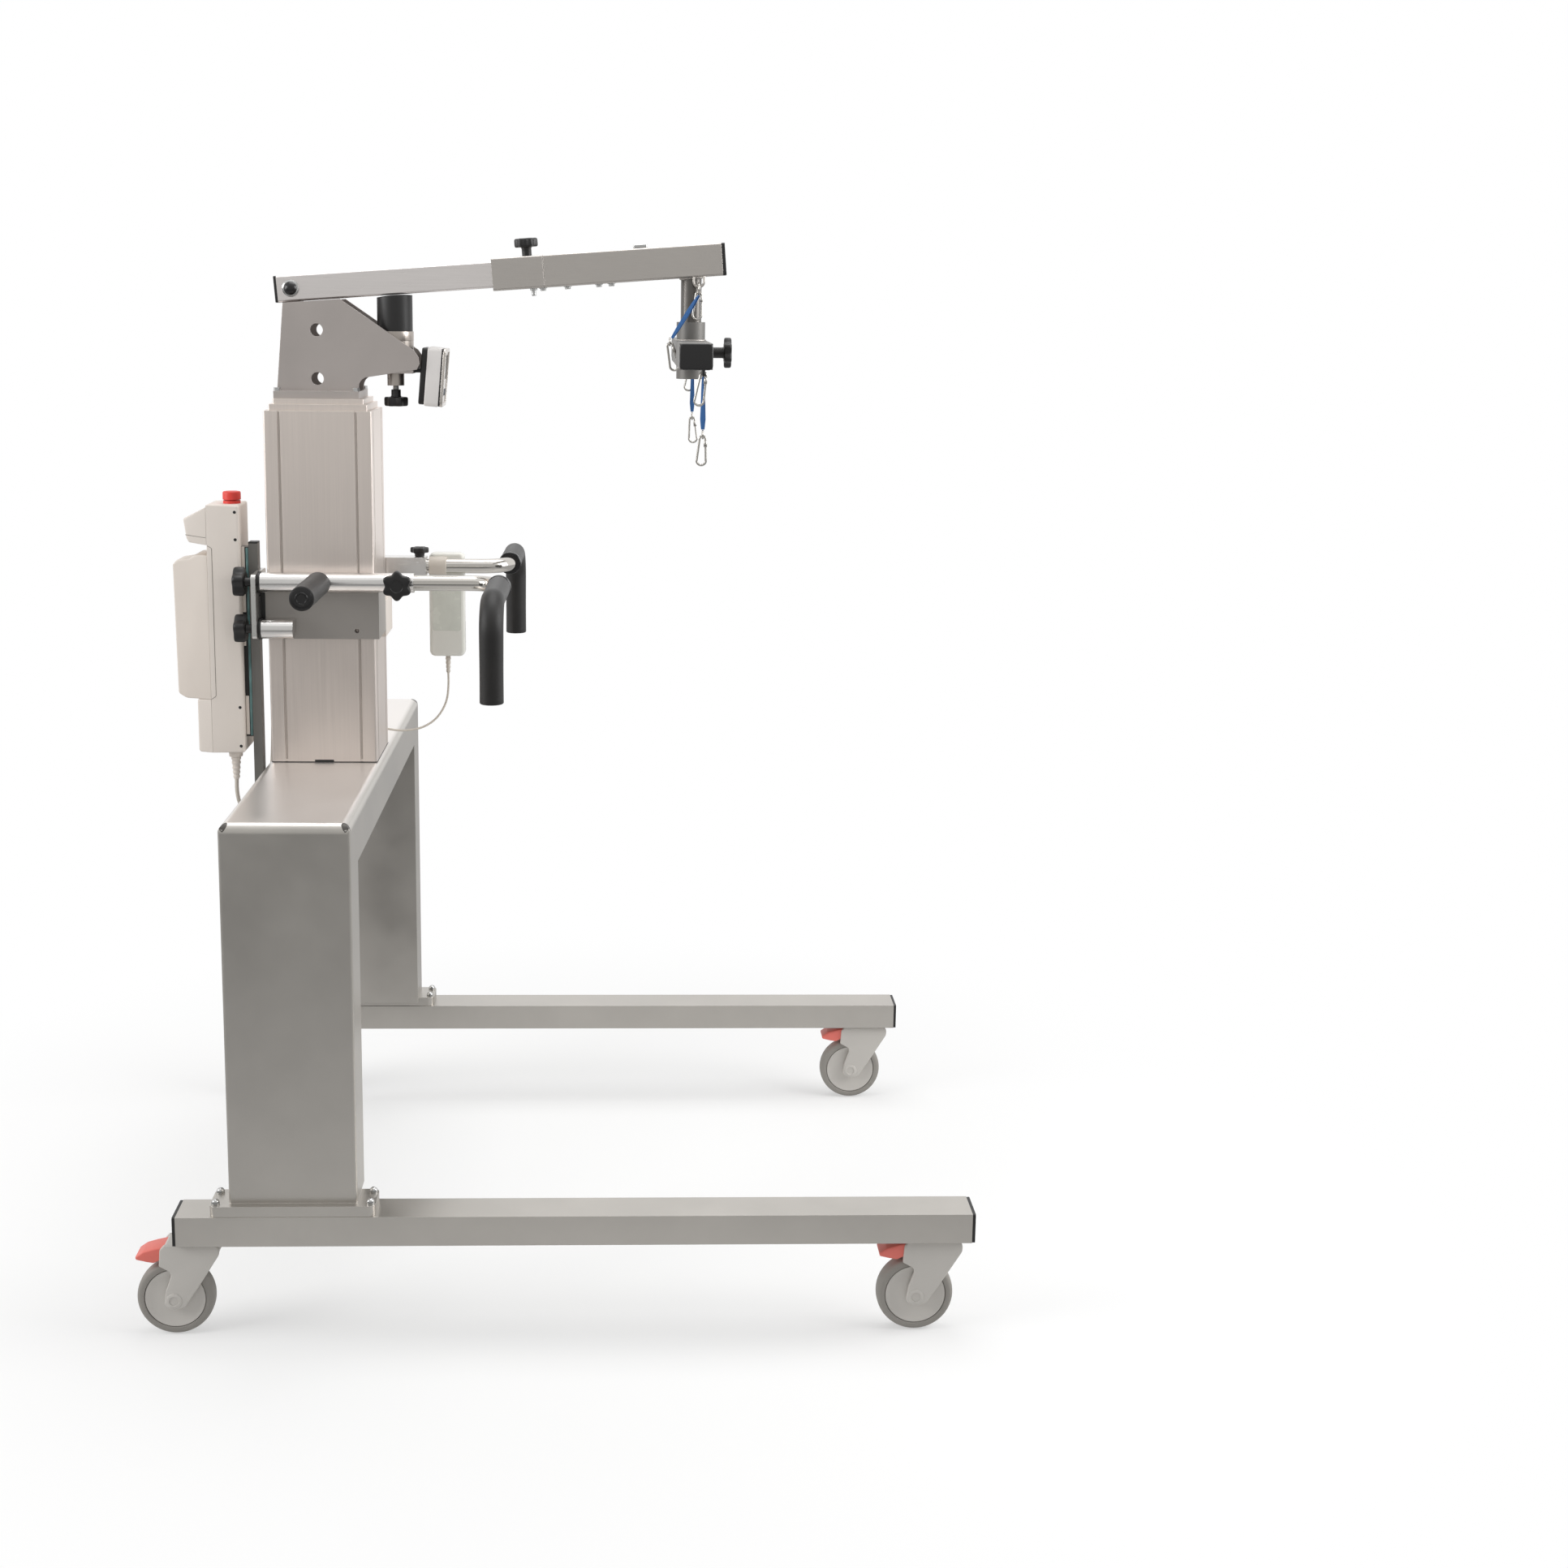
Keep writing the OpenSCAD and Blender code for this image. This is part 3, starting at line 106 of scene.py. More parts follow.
def unit(vectors):
    """Each vector divided by its length."""
    vectors = np.asarray(vectors, float)
    return vectors / np.linalg.norm(vectors, axis=-1, keepdims=True)


def whole_turn(sides):
    """Evenly spaced angles of one whole turn."""
    return np.linspace(0, 2 * np.pi, sides, endpoint=False)


def stack(*axes):
    """Points from their coordinates: one array or number for each axis."""
    return np.stack(np.broadcast_arrays(*axes), -1)


def ring(radius, sides):
    """A circle of points in the plane."""
    turn = whole_turn(sides)
    return radius * stack(np.cos(turn), np.sin(turn))


def round_corners(points, radius, closed=True, steps=CORNER_STEPS):
    """Each corner becomes a circular arc: the weighted parabola between its two tangent points and the
    corner, whose weight is the sine of half the corner's angle."""
    corners = np.asarray(points, float)
    radii = np.broadcast_to(np.asarray(radius, float), len(corners))[:, None]
    back = unit(np.roll(corners, 1, 0) - corners)
    ahead = unit(np.roll(corners, -1, 0) - corners)
    cosine = np.clip((back * ahead).sum(-1, keepdims=True), -0.9999, 0.9999)
    half = np.arccos(cosine) / 2
    reach = radii / np.tan(half)
    start = (corners + back * reach)[:, None]
    end = (corners + ahead * reach)[:, None]
    share = np.linspace(0, 1, steps)[None, :, None]
    pull = 2 * share * (1 - share) * np.sin(half)[:, None]
    weights = (1 - share) ** 2 + pull + share ** 2
    arc = ((1 - share) ** 2 * start + pull * corners[:, None] + share ** 2 * end) / weights
    if closed:
        return arc.reshape(-1, corners.shape[1])
    return np.vstack([corners[:1], arc[1:-1].reshape(-1, corners.shape[1]), corners[-1:]])


def box_outline(width, height, radius, steps=CORNER_STEPS):
    """A rectangle about the origin with rounded corners."""
    x, y = width / 2, height / 2
    return round_corners([[-x, -y], [x, -y], [x, y], [-x, y]], radius, steps=steps)


def smooth(points, steps):
    """A curve through all the points: a cubic between neighbours that looks one point further each way."""
    path = np.vstack([points[:1], points, points[-1:]])
    share = (np.arange(steps) / steps)[None, :, None]
    before, start, end, after = path[:-3, None], path[1:-2, None], path[2:-1, None], path[3:, None]
    square = 2 * before - 5 * start + 4 * end - after
    cube = 3 * start - before - 3 * end + after
    bend = square * share ** 2 + cube * share ** 3
    curve = 0.5 * (2 * start + (end - before) * share + bend)
    return np.vstack([curve.reshape(-1, 3), points[-1:]])


def lengths(path):
    """Distance along a path at each of its points."""
    return np.hstack([[0.0], np.cumsum(np.linalg.norm(np.diff(path, axis=0), axis=1))])


def at_lengths(path, spots):
    """Points of a path at the given distances along it."""
    along = lengths(path)
    return stack(*[np.interp(spots, along, axis) for axis in path.T])


def sweep(path, section, side, scale=1.0, closed=False):
    """A flat section carried along a path. Its first axis is square to the path and to side, its second is
    square to the path and to the first."""
    path = np.asarray(path, float)
    step = np.roll(path, -1, 0) - np.roll(path, 1, 0) if closed else np.gradient(path, axis=0)
    ahead = unit(step)
    across = unit(np.cross(ahead, side))
    over = np.cross(ahead, across)
    size = np.asarray(scale, float)
    size = np.broadcast_to(size[:, None] if size.ndim == 1 else size, (len(path), 2))
    flat = section[None] * size[:, None]
    return path[:, None] + flat[..., :1] * across[:, None] + flat[..., 1:] * over[:, None]


def lathe(profile, sides=40):
    """A profile of radius and height turned round the third axis."""
    radius, height = np.hsplit(np.asarray(profile, float), 2)
    turn = whole_turn(sides)
    return stack(radius * np.cos(turn), radius * np.sin(turn), height)


def slab(outline, low, high, edge, steps=4):
    """A flat outline thickened along the third axis; towards both faces it draws in by a quarter circle,
    whose radius may differ from point to point."""
    outline = np.asarray(outline, float)
    edge = np.broadcast_to(np.asarray(edge, float), len(outline))
    after = np.roll(outline, -1, 0)
    ahead = unit(after - np.roll(outline, 1, 0))
    area = (outline[:, 0] * after[:, 1] - outline[:, 1] * after[:, 0]).sum()
    out = np.sign(area) * stack(ahead[:, 1], -ahead[:, 0])
    turn = np.linspace(0, np.pi / 2, steps + 1)
    inset = (1 - np.sin(turn))[:, None] * edge
    rise = (1 - np.cos(turn))[:, None] * edge
    inset = np.vstack([inset, inset[::-1]])
    height = np.vstack([low + rise, (high - rise)[::-1]])
    return np.dstack([outline - inset[..., None] * out, height])


def upright(outline, near, far, edge):
    """A slab stood up: its outline lies in the first and third axis, its thickness in the second."""
    return slab(outline, near, far, edge)[..., [0, 2, 1]]


def facing(outline, back, front, edge):
    """A slab turned to the front: its thickness lies in the first axis, its outline in the other two."""
    return slab(outline, back, front, edge)[..., [2, 0, 1]]


def set_at(shape, place, along):
    """Turns a shape made round the third axis so that this axis points along a direction, and moves it."""
    axis = unit(along)
    across = unit(np.cross(X_AXIS if abs(axis[1]) > 0.9 else Y_AXIS, axis))
    return np.asarray(place, float) + shape @ np.stack([across, np.cross(axis, across), axis])


def lean_back(angle):
    """A turn about the second axis, for points in rows."""
    cosine, sine = np.cos(angle), np.sin(angle)
    return np.array([[cosine, 0, sine], [0, 1, 0], [-sine, 0, cosine]])


def on_boom(shape):
    """From the boom's own axes, with the pivot at zero, to the frame: turned up by the boom's tilt."""
    return PIVOT + shape @ lean_back(TILT)


def torus(centre, radius, rod):
    """A ring of round rod that lies square to the first axis."""
    flat = np.hstack([ring(radius, 36), np.zeros((36, 1))])
    return sweep(set_at(flat, centre, X_AXIS), ring(rod, 14), X_AXIS, closed=True), True


def skin(grid, closed=False):
    """Four-sided faces over a grid whose rows are rings; each open end gets one flat face."""
    rows, cols = grid.shape[:2]
    index = np.arange(rows * cols).reshape(rows, cols)
    index = np.hstack([index, index[:, :1]])
    if closed:
        index = np.vstack([index, index[:1]])
    quads = stack(index[:-1, :-1], index[:-1, 1:], index[1:, 1:], index[1:, :-1]).reshape(-1, 4)
    ends = [] if closed else [index[0, -2::-1].tolist(), index[rows - 1, :-1].tolist()]
    return grid.reshape(-1, 3), quads, ends


# Objects

def add_object(name, data):
    """An object at the origin, linked to the scene."""
    obj = bpy.data.objects.new(name, data)
    scene.collection.objects.link(obj)
    return obj


def clean(mesh, sharp):
    """Merges doubled points, turns the faces outwards and shades all but the flat ends smooth."""
    shape = bmesh.new()
    shape.from_mesh(mesh)
    bmesh.ops.remove_doubles(shape, verts=shape.verts, dist=2e-6)
    bmesh.ops.dissolve_degenerate(shape, edges=shape.edges, dist=1e-7)
    bmesh.ops.recalc_face_normals(shape, faces=shape.faces)
    shape.to_mesh(mesh)
    shape.free()
    corners = np.zeros(len(mesh.polygons), np.int32)
    mesh.polygons.foreach_get("loop_total", corners)
    mesh.polygons.foreach_set("use_smooth", corners <= 4)
    mesh.set_sharp_from_angle(angle=np.radians(sharp))


def add_piece(name, shapes, look, body="frame", sharp=35.0):
    """Joins grids into one mesh that rides on a body. A grid in a tuple is a closed loop of rings. A piece with
    the name of a solid replaces it."""
    skins = [skin(*shape) if isinstance(shape, tuple) else skin(shape) for shape in shapes]
    starts = np.cumsum([0] + [len(grid) for grid, _, _ in skins])
    points = (np.vstack([grid for grid, _, _ in skins]) + COLUMN) * METRES
    faces = []
    for (_, quads, ends), start in zip(skins, starts):
        faces += (quads + start).tolist()
        faces += [[corner + int(start) for corner in end] for end in ends]
    mesh = bpy.data.meshes.new(name)
    mesh.from_pydata(points.tolist(), [], faces)
    clean(mesh, sharp)
    mesh.materials.append(finish[look])
    obj = add_object(name, mesh)
    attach(obj, body)
    if name in nodes:
        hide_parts(name)
    return obj


# Finishes

SHADER = "Principled BSDF"
EVEN = (1.0, 1.0, 1.0)
WHITE = (1.0, 1.0, 1.0, 1.0)


class Value:
    """What a node gives out. Arithmetic on it, from either side, adds Math nodes."""

    def __init__(self, tree, socket):
        self.tree = tree
        self.socket = socket

    def math(self, operation, *values):
        """One Math node on its values."""
        return self.tree.add("Math", enumerate(values), operation=operation)

    def __add__(self, other):
        return self.math("ADD", self, other)

    def __sub__(self, other):
        return self.math("SUBTRACT", self, other)

    def __rsub__(self, other):
        return self.math("SUBTRACT", other, self)

    def __mul__(self, other):
        return self.math("MULTIPLY", self, other)

    __radd__ = __add__
    __rmul__ = __mul__

    def sine(self):
        """The sine of the value."""
        return self.math("SINE", self)

    def clipped(self):
        """The value kept between zero and one."""
        return self.tree.add("Clamp", {0: self})


class Nodes:
    """A node tree with one way to add any node."""

    def __init__(self, tree):
        self.tree = tree

    def add(self, kind, sockets=(), out=0, **settings):
        """A node of a type: its settings are set first, then the values or links of its sockets."""
        node = self.tree.nodes.new("ShaderNode" + kind)
        for key, value in settings.items():
            setattr(node, key, value)
        self.fill(node, dict(sockets))
        return Value(self, node.outputs[out])

    def fill(self, node, sockets):
        """Sets or links each of a node's sockets."""
        for key, value in sockets.items():
            if isinstance(value, Value):
                self.tree.links.new(value.socket, node.inputs[key])
            else:
                node.inputs[key].default_value = value

    def place(self, stretch=EVEN, turn=(0.0, 0.0, 0.0)):
        """The point on the piece, turned and then stretched."""
        spot = self.add("TexCoord", out="Object")
        return self.add("Mapping", {"Vector": spot, "Scale": stretch, "Rotation": turn})

    def noise(self, scale, detail, stretch=EVEN):
        """Cloudy noise of a scale in waves per metre."""
        return self.add("TexNoise", {"Vector": self.place(stretch), "Scale": scale, "Detail": detail,
                                     "Roughness": 0.55})

    def mix(self, factor, first, second):
        """The first colour where the factor is zero and the second where it is one."""
        return self.add("Mix", {0: factor, 6: first, 7: second}, 2, data_type="RGBA")

    def span(self, value, low, high, to_low, to_high):
        """Carries one span of values over to another in a straight line."""
        return self.add("MapRange", enumerate([value, low, high, to_low, to_high]))

    def bump(self, **sockets):
        """The normal that a height gives."""
        return self.add("Bump", sockets)

    def rays(self, *kinds):
        """One for the named kinds of ray and zero for the others."""
        found = [self.add("LightPath", out=f"Is {kind} Ray") for kind in kinds]
        return sum(found[1:], found[0]).clipped()


def tone(rgb, gain=1.0):
    """A screen colour of 0 to 255 as the linear colour that the shader takes."""
    screen = np.asarray(rgb, float) / 255
    linear = np.where(screen <= 0.04045, screen / 12.92, ((screen + 0.055) / 1.055) ** 2.4) * gain
    return (*[float(level) for level in np.clip(linear, 0, 1)], 1.0)


def new_finish(name):
    """A material, its tree and its shader."""
    material = bpy.data.materials.new(name)
    material.use_nodes = True
    return material, Nodes(material.node_tree), material.node_tree.nodes[SHADER]


def show(material, tree, shader):
    """Makes a material show another shader than its own."""
    tree.fill(material.node_tree.nodes["Material Output"], {"Surface": shader})


def surface(name, rgb, rough, mottle=0.05, patch=7.0, grain=500.0, stretch=EVEN, streak=0.0, bump=0.00004,
            edge=0.0, worn=0.0, spread=0.08, upper=None, **sockets):
    """The shared recipe. Colour: two tones mixed by a broad noise and by a fine grain that may be stretched
    into brush lines, lighter along edges as wear and as a painted highlight, and another tone above a given
    height as a painted highlight on a lit top. Roughness: rises and falls with both. Normal: edges rounded by a
    radius, then the grain as height."""
    material, tree, shader = new_finish(name)
    broad = tree.noise(patch, 4.0)
    fine = tree.noise(grain, 2.0, stretch)
    blend = (broad * (1 - streak) + fine * streak).clipped()
    share = tree.span(blend, 0.3, 0.7, 0.0, 1.0)
    colour = tree.mix(share, tone(rgb, 1 - mottle), tone(rgb, 1 + mottle))
    # A paler tone above a given height: a painted highlight on a top that light falls on.
    if upper:
        level, lit_top_rgb = upper
        height = tree.add("SeparateXYZ", {0: tree.place()}, "Z")
        above = tree.span(height, level - 0.004, level, 0.0, 1.0)
        colour = tree.mix(above, colour, tone(lit_top_rgb))
    relief = {}
    if edge:
        relief["Normal"] = tree.add("Bevel", {"Radius": edge}, samples=4)
    # Edges lighter where the bevel turns the normal: partly wear, partly a painted highlight along edges.
    if worn:
        true = tree.add("NewGeometry", out="Normal")
        both = {0: relief["Normal"], 1: true}
        flat = tree.add("VectorMath", both, "Value", operation="DOT_PRODUCT")
        colour = tree.mix(((1 - flat) * 6.0).clipped() * worn, colour, tone(rgb, 1.6))
    if bump:
        relief["Normal"] = tree.bump(Strength=1.0, Distance=bump, Height=fine, **relief)
    rough = tree.span(blend, 0.25, 0.75, rough - spread, rough + spread)
    sockets = {key.replace("_", " "): value for key, value in sockets.items()}
    tree.fill(shader, {"Base Color": colour, "Roughness": rough, **relief, **sockets})
    return material


def webbing(name, rgb, lean):
    """Narrow woven strap: ribs across it and cords along it are two sine waves of the place, their product is
    the height of the weave, and the hollows are darker as painted shade."""
    material, tree, shader = new_finish(name)
    spot = tree.place(turn=(0.0, lean, 0.0))
    across = tree.add("SeparateXYZ", {0: spot}, "Y")
    along = tree.add("SeparateXYZ", {0: spot}, "Z")
    cords = (across * 5200.0 + (along * 2600.0).sine() * 0.8).sine()
    ribs = (along * 4200.0).sine()
    weave = cords * ribs * 0.5 + 0.5
    fuzz = tree.noise(900.0, 3.0)
    # Darker in the hollows of the weave, as painted shade, mixed with a random fuzz.
    shade = (weave * 0.6 + fuzz * 0.4).clipped()
    tree.fill(shader, {"Sheen Weight": 0.3, "Sheen Roughness": 0.5, "Specular IOR Level": 0.3,
                       "Base Color": tree.mix(shade, tone(rgb, 0.55), tone(rgb, 1.35)),
                       "Roughness": tree.span(fuzz, 0.2, 0.8, 0.72, 0.92),
                       "Normal": tree.bump(Strength=0.9, Distance=0.0003, Height=weave)})
    return material


def sleeve_foam(name, rgb):
    """Foam sleeve: fine pores from a cell pattern, a dull sheen and a dusty lighter tone in broad patches."""
    material, tree, shader = new_finish(name)
    pores = tree.add("TexVoronoi", {"Vector": tree.place(), "Scale": 900.0})
    dust = tree.span(tree.noise(22.0, 4.0), 0.35, 0.7, 0.0, 1.0)
    tree.fill(shader, {"Sheen Weight": 0.12, "Sheen Roughness": 0.4, "Specular IOR Level": 0.45,
                       "Base Color": tree.mix(dust, tone(rgb, 0.8), tone(rgb, 1.35)),
                       "Roughness": tree.span(pores, 0.0, 0.7, 0.36, 0.56),
                       "Normal": tree.bump(Strength=0.6, Distance=0.0002, Height=pores)})
    return material


# Colour, roughness and what differs from the shared recipe: metal first, then plastic, rubber and glass.
PAINT = dict(grain=1400, bump=0.00002, edge=0.0012, worn=0.2, spread=0.05)
BRUSHED = dict(streak=0.7, mottle=0.03, Metallic=1, edge=0.0008, worn=0.15, spread=0.05, bump=0.00001)
DRAWN = dict(grain=700, stretch=(1, 1, 0.05), streak=0.5)
MOULDED = dict(grain=1800, bump=0.00002, mottle=0.03, edge=0.001)
BLACK = dict(mottle=0.15, edge=0.0008)
# Height from which the portal's top is painted paler, as a painted highlight from the light above.
LIT_TOP_FROM = (PORTAL_TOP - 0.5) * METRES
FINISHES = {
    "frame_paint": ((190, 186, 180), 0.34, dict(PAINT, Metallic=0.85)),
    "portal_paint_lit_top": ((190, 186, 180), 0.34, dict(PAINT, Metallic=0.85, upper=(LIT_TOP_FROM, (237, 232, 228)))),
    "head_paint": ((180, 173, 169), 0.42, dict(PAINT, Metallic=0.7)),
    "clamp_paint": ((164, 159, 154), 0.40, dict(PAINT, Metallic=0.6)),
    "mast_grey": ((122, 120, 116), 0.42, dict(PAINT, Metallic=0.4)),
    "silver_paint": ((206, 200, 194), 0.24, dict(BRUSHED, stretch=(1, 1, 0.03))),
    "boom_silver": ((228, 223, 221), 0.30, dict(BRUSHED, grain=600, stretch=(0.02, 1, 1))),
    "boom_grey": ((188, 183, 178), 0.36, dict(BRUSHED, grain=900, stretch=(0.05, 1, 1))),
    "column_aluminium": ((227, 217, 210), 0.38, dict(BRUSHED, grain=420, stretch=(1, 1, 0.012))),
    "plate_aluminium": ((214, 213, 210), 0.3, dict(BRUSHED, stretch=(1, 0.04, 1))),
    "galvanised": ((228, 226, 224), 0.24, dict(BRUSHED, stretch=(0.03, 1, 1))),
    "dark_steel": ((104, 101, 98), 0.34, dict(DRAWN, Metallic=0.8, edge=0.0008)),
    "spreader_steel": ((122, 120, 117), 0.5, dict(DRAWN, Metallic=0.5, edge=0.0012)),
    "housing_steel": ((178, 170, 163), 0.32, dict(DRAWN, Metallic=1)),
    "zinc_steel": ((190, 190, 189), 0.22, dict(Metallic=1, grain=900, edge=0.0006, mottle=0.06)),
    "bar_chrome": ((206, 202, 196), 0.10, dict(Metallic=1, grain=300, stretch=(0.05, 1, 1),
                                               streak=0.4, bump=0.000008, spread=0.04)),
    "nickel": ((196, 193, 188), 0.16, dict(Metallic=1, grain=1200, mottle=0.1, bump=0.00001)),
    "groove_shadow": ((182, 173, 166), 0.5, dict(Metallic=0.5, grain=900, mottle=0.1)),
    "fold_shadow": ((84, 81, 78), 0.4, dict(Metallic=0.5, grain=900, mottle=0.15)),
    "black_plastic": ((24, 23, 23), 0.42, dict(BLACK, grain=1600, bump=0.00003)),
    "black_gloss": ((22, 21, 22), 0.26, dict(BLACK, grain=1300, bump=0.00001)),
    "drive_grey": ((92, 94, 97), 0.55, MOULDED),
    "caster_grey": ((202, 198, 192), 0.45, MOULDED),
    "caster_tread": ((150, 146, 140), 0.6, dict(grain=900, bump=0.00006, mottle=0.08, edge=0.001)),
    "red_plastic": ((238, 122, 110), 0.4, MOULDED),
    "stop_red": ((226, 62, 52), 0.42, MOULDED),
    "display_plastic": ((234, 230, 227), 0.4, MOULDED),
    "cream_plastic": ((228, 219, 210), 0.48, MOULDED),
    "battery_plastic": ((226, 216, 206), 0.48, MOULDED),
    "handset_plastic": ((234, 233, 225), 0.32, dict(MOULDED, Coat_Weight=0.4, Coat_Roughness=0.12)),
    "handset_window": ((220, 222, 212), 0.25, dict(Coat_Weight=0.4, Coat_Roughness=0.1, patch=30,
                                                   mottle=0.06, grain=900, bump=0)),
    "key_plastic": ((78, 82, 88), 0.5, MOULDED),
    "cable_grey": ((206, 198, 187), 0.5, dict(grain=1500, bump=0.00003)),
    "seam_shadow": ((128, 121, 114), 0.7, dict(grain=900)),
    "clear_edge": ((104, 140, 140), 0.18, dict(grain=60, stretch=(1, 1, 0.4), streak=0.8,
                                                mottle=0.5, bump=0)),
    "screen_glass": ((20, 24, 26), 0.12, dict(grain=60, bump=0, mottle=0.2)),
}


def make_finishes():
    """Every finish by its name."""
    made = {name: surface(name, rgb, rough, **rest) for name, (rgb, rough, rest) in FINISHES.items()}
    made["foam"] = sleeve_foam("foam", (22, 20, 19))
    blue = (60, 112, 176)
    made["blue_webbing"] = webbing("blue_webbing", blue, 0.0)
    made["blue_webbing_leaning"] = webbing("blue_webbing_leaning", blue, np.radians(-32.0))
    return made


# Studio

def matrix_of(axes, place):
    """A matrix from three axes and a place."""
    matrix = np.eye(4)
    matrix[:3, :3] = stack(*axes)
    matrix[:3, 3] = place
    return Matrix(matrix.tolist())


def set_camera():
    """The photograph's viewpoint: turned 1.9 degrees, tipped 10.1 down, rolled 0.6, with a small shift."""
    place = (0.1116, -3.6448, 1.6721)
    yaw, pitch, roll = np.radians([1.90, 10.09, 0.58])
    ahead = np.array([np.sin(yaw) * np.cos(pitch), np.cos(yaw) * np.cos(pitch), -np.sin(pitch)])
    right = np.array([np.cos(yaw), -np.sin(yaw), 0.0])
    up = np.cross(right, ahead)
    x = np.cos(roll) * right + np.sin(roll) * up
    y = -np.sin(roll) * right + np.cos(roll) * up
    data = bpy.data.cameras.new("camera")
    data.sensor_width = 36.0
    data.lens = 46.74
    data.shift_x = 0.0578
    data.shift_y = -0.0741
    camera = add_object("camera", data)
    camera.matrix_world = matrix_of([x, y, -ahead], place)
    scene.camera = camera


def add_lamp(name, place, target, size, power):
    """A square soft lamp that faces a point."""
    data = bpy.data.lights.new(name, "AREA")
    data.shape = "SQUARE"
    data.size = size
    data.energy = power
    away = unit(np.asarray(place) - np.asarray(target))
    across = unit(np.cross(Z_AXIS if abs(away[2]) < 0.95 else Y_AXIS, away))
    add_object(name, data).matrix_world = matrix_of([across, np.cross(away, across), away], place)


def add_quad(name, corners, material):
    """One four-sided face that belongs to the studio."""
    mesh = bpy.data.meshes.new(name)
    mesh.from_pydata(corners, [], [[0, 1, 2, 3]])
    mesh.materials.append(material)
    quad = add_object(name, mesh)
    return quad


def add_card(name, start, end, low, high, level):
    """An upright grey card between two places on the floor plan and two heights; only reflections show it."""
    material, tree, _ = new_finish(name)
    grey = (level, level, 0.985 * level, 1.0)
    show(material, tree, tree.add("Emission", {"Color": grey, "Strength": 1.0}))
    card = add_quad(name, [[*start, low], [*end, low], [*end, high], [*start, high]], material)
    card.visible_camera = card.visible_diffuse = card.visible_shadow = False


def light_world():
    """White all round for what the camera and reflections see, and a softer level for the light itself."""
    world = bpy.data.worlds.new("studio")
    scene.world = world
    world.use_nodes = True
    tree = Nodes(world.node_tree)
    seen = tree.rays("Camera", "Glossy", "Transmission")
    strength = tree.span(seen, 0.0, 1.0, 0.4, 1.0)
    tree.fill(world.node_tree.nodes["Background"], {"Color": WHITE, "Strength": strength})


def add_floor():
    """A pale floor that turns white away from the object."""
    half = 7.0
    level = -0.0004
    material, tree, shader = new_finish("pale_floor")
    tree.fill(shader, {"Roughness": 0.9, "Specular IOR Level": 0.1, "Base Color": (0.9, 0.9, 0.895, 1.0)})
    glow = tree.span(tree.rays("Camera", "Transmission"), 0.0, 1.0, 0.5, 1.0)
    white = tree.add("Emission", {"Color": WHITE, "Strength": glow})
    spot = tree.add("TexCoord", out="Object")
    away = tree.add("VectorMath", {0: spot}, "Value", operation="LENGTH")
    far = tree.add("MapRange", enumerate([away, 0.6, 1.7, 0.4, 1.0]), interpolation_type="SMOOTHSTEP")
    pale = Value(tree, shader.outputs[0])
    show(material, tree, tree.add("MixShader", {0: far, 1: pale, 2: white}))
    corners = [[-half, -half, level], [half, -half, level], [half, half, level], [-half, half, level]]
    add_quad("floor", corners, material)


def light_studio():
    """The world, three lamps, grey cards that only reflections show, and the floor. Sizes are metres."""
    light_world()
    add_lamp("right_lamp", (3.4, -0.6, 2.3), (0, 0, 0.9), 2.2, 85)
    add_lamp("left_lamp", (-3.6, -1.4, 2.2), (-0.2, 0, 0.9), 2, 75)
    add_lamp("top_lamp", (0.2, 0.5, 4.2), (0, 0, 0.8), 2.6, 60)
    add_card("low_card", (-3.2, -2.5), (3.2, -2.5), 0, 0.75, 0.2)
    add_card("high_card", (-3.2, -2.5), (3.2, -2.5), 0.75, 3.4, 0.62)
    add_card("right_card", (2.3, -2.3), (2.3, -0.7), 0, 2, 0.1)
    add_card("left_card", (-2.6, -2.3), (-2.6, -0.9), 0, 2, 0.1)
    add_card("portal_card", (-0.53, -0.25), (-0.335, -0.25), 0.02, 0.85, 0.05)
    add_floor()


# Cables and grips

def add_cord(name, route, radius):
    """A round cable: a circle carried along the smooth curve through the route's points, which start from the
    height of the portal's top."""
    path = smooth(np.array(route) + (0, 0, PORTAL_TOP), 3)
    tube = sweep(path, ring(radius, 14), (0.6, -0.8, 0))
    cable = add_piece(name, [tube], "cable_grey", sharp=60)
    line = (path + COLUMN) * METRES
    tuple(line[0])
    float(lengths(line)[-1])


def add_cords():
    """The control box's cable and the handset's cable, on the same routes as their solids."""
    add_cord("control_cable", [[-161, -60, -36], [-161, -60, -58], [-158, -54, -82], [-150, -38, -100],
                               [-138, -16, -107], [-126, 6, -98], [-118, 22, -72], [-114, 31, -34],
                               [-112, 36, 6], [-111, 39, 44], [-110, 41, 70], [-104, 42, 86],
                               [-COLUMN_HALF_X, 42, 86]], 3.5)
    add_cord("handset_cable", [[HANDSET_X, 148, 121], [HANDSET_X, 148, 98], [198, 147, 72], [189, 143, 50],
                               [174, 137, 32], [152, 129, 20], [126, 121, 16], [102, 114, 18], [80, 107, 24],
                               [62, 100, 30], [56, 92, 32], [56, COLUMN_HALF_Y, 32]], 2)


def soft_tube(path, radius, swell):
    """A foam sleeve: a circle along a path, its radius easing by a quarter circle at both ends and swelling a
    little in two long waves between them."""
    edge = 2.5
    total = lengths(path)[-1]
    near = edge * (1 - np.cos(np.linspace(0, np.pi / 2, 6)))
    spots = np.hstack([near, np.linspace(edge, total - edge, 60)[1:-1], (total - near)[::-1]])
    inward = np.clip(edge - np.minimum(spots, total - spots), 0, edge)
    ease = np.sqrt(np.maximum(edge ** 2 - inward ** 2, 0)) - edge
    waves = swell * np.sin(spots / total * 4 * np.pi)
    return sweep(at_lengths(path, spots), ring(1, 40), X_AXIS, radius + waves + ease)


def add_foam(name, path, radius, swell, body):
    """One padded foam sleeve."""
    grip = add_piece(name, [soft_tube(path, radius, swell)], "foam", body, sharp=50)


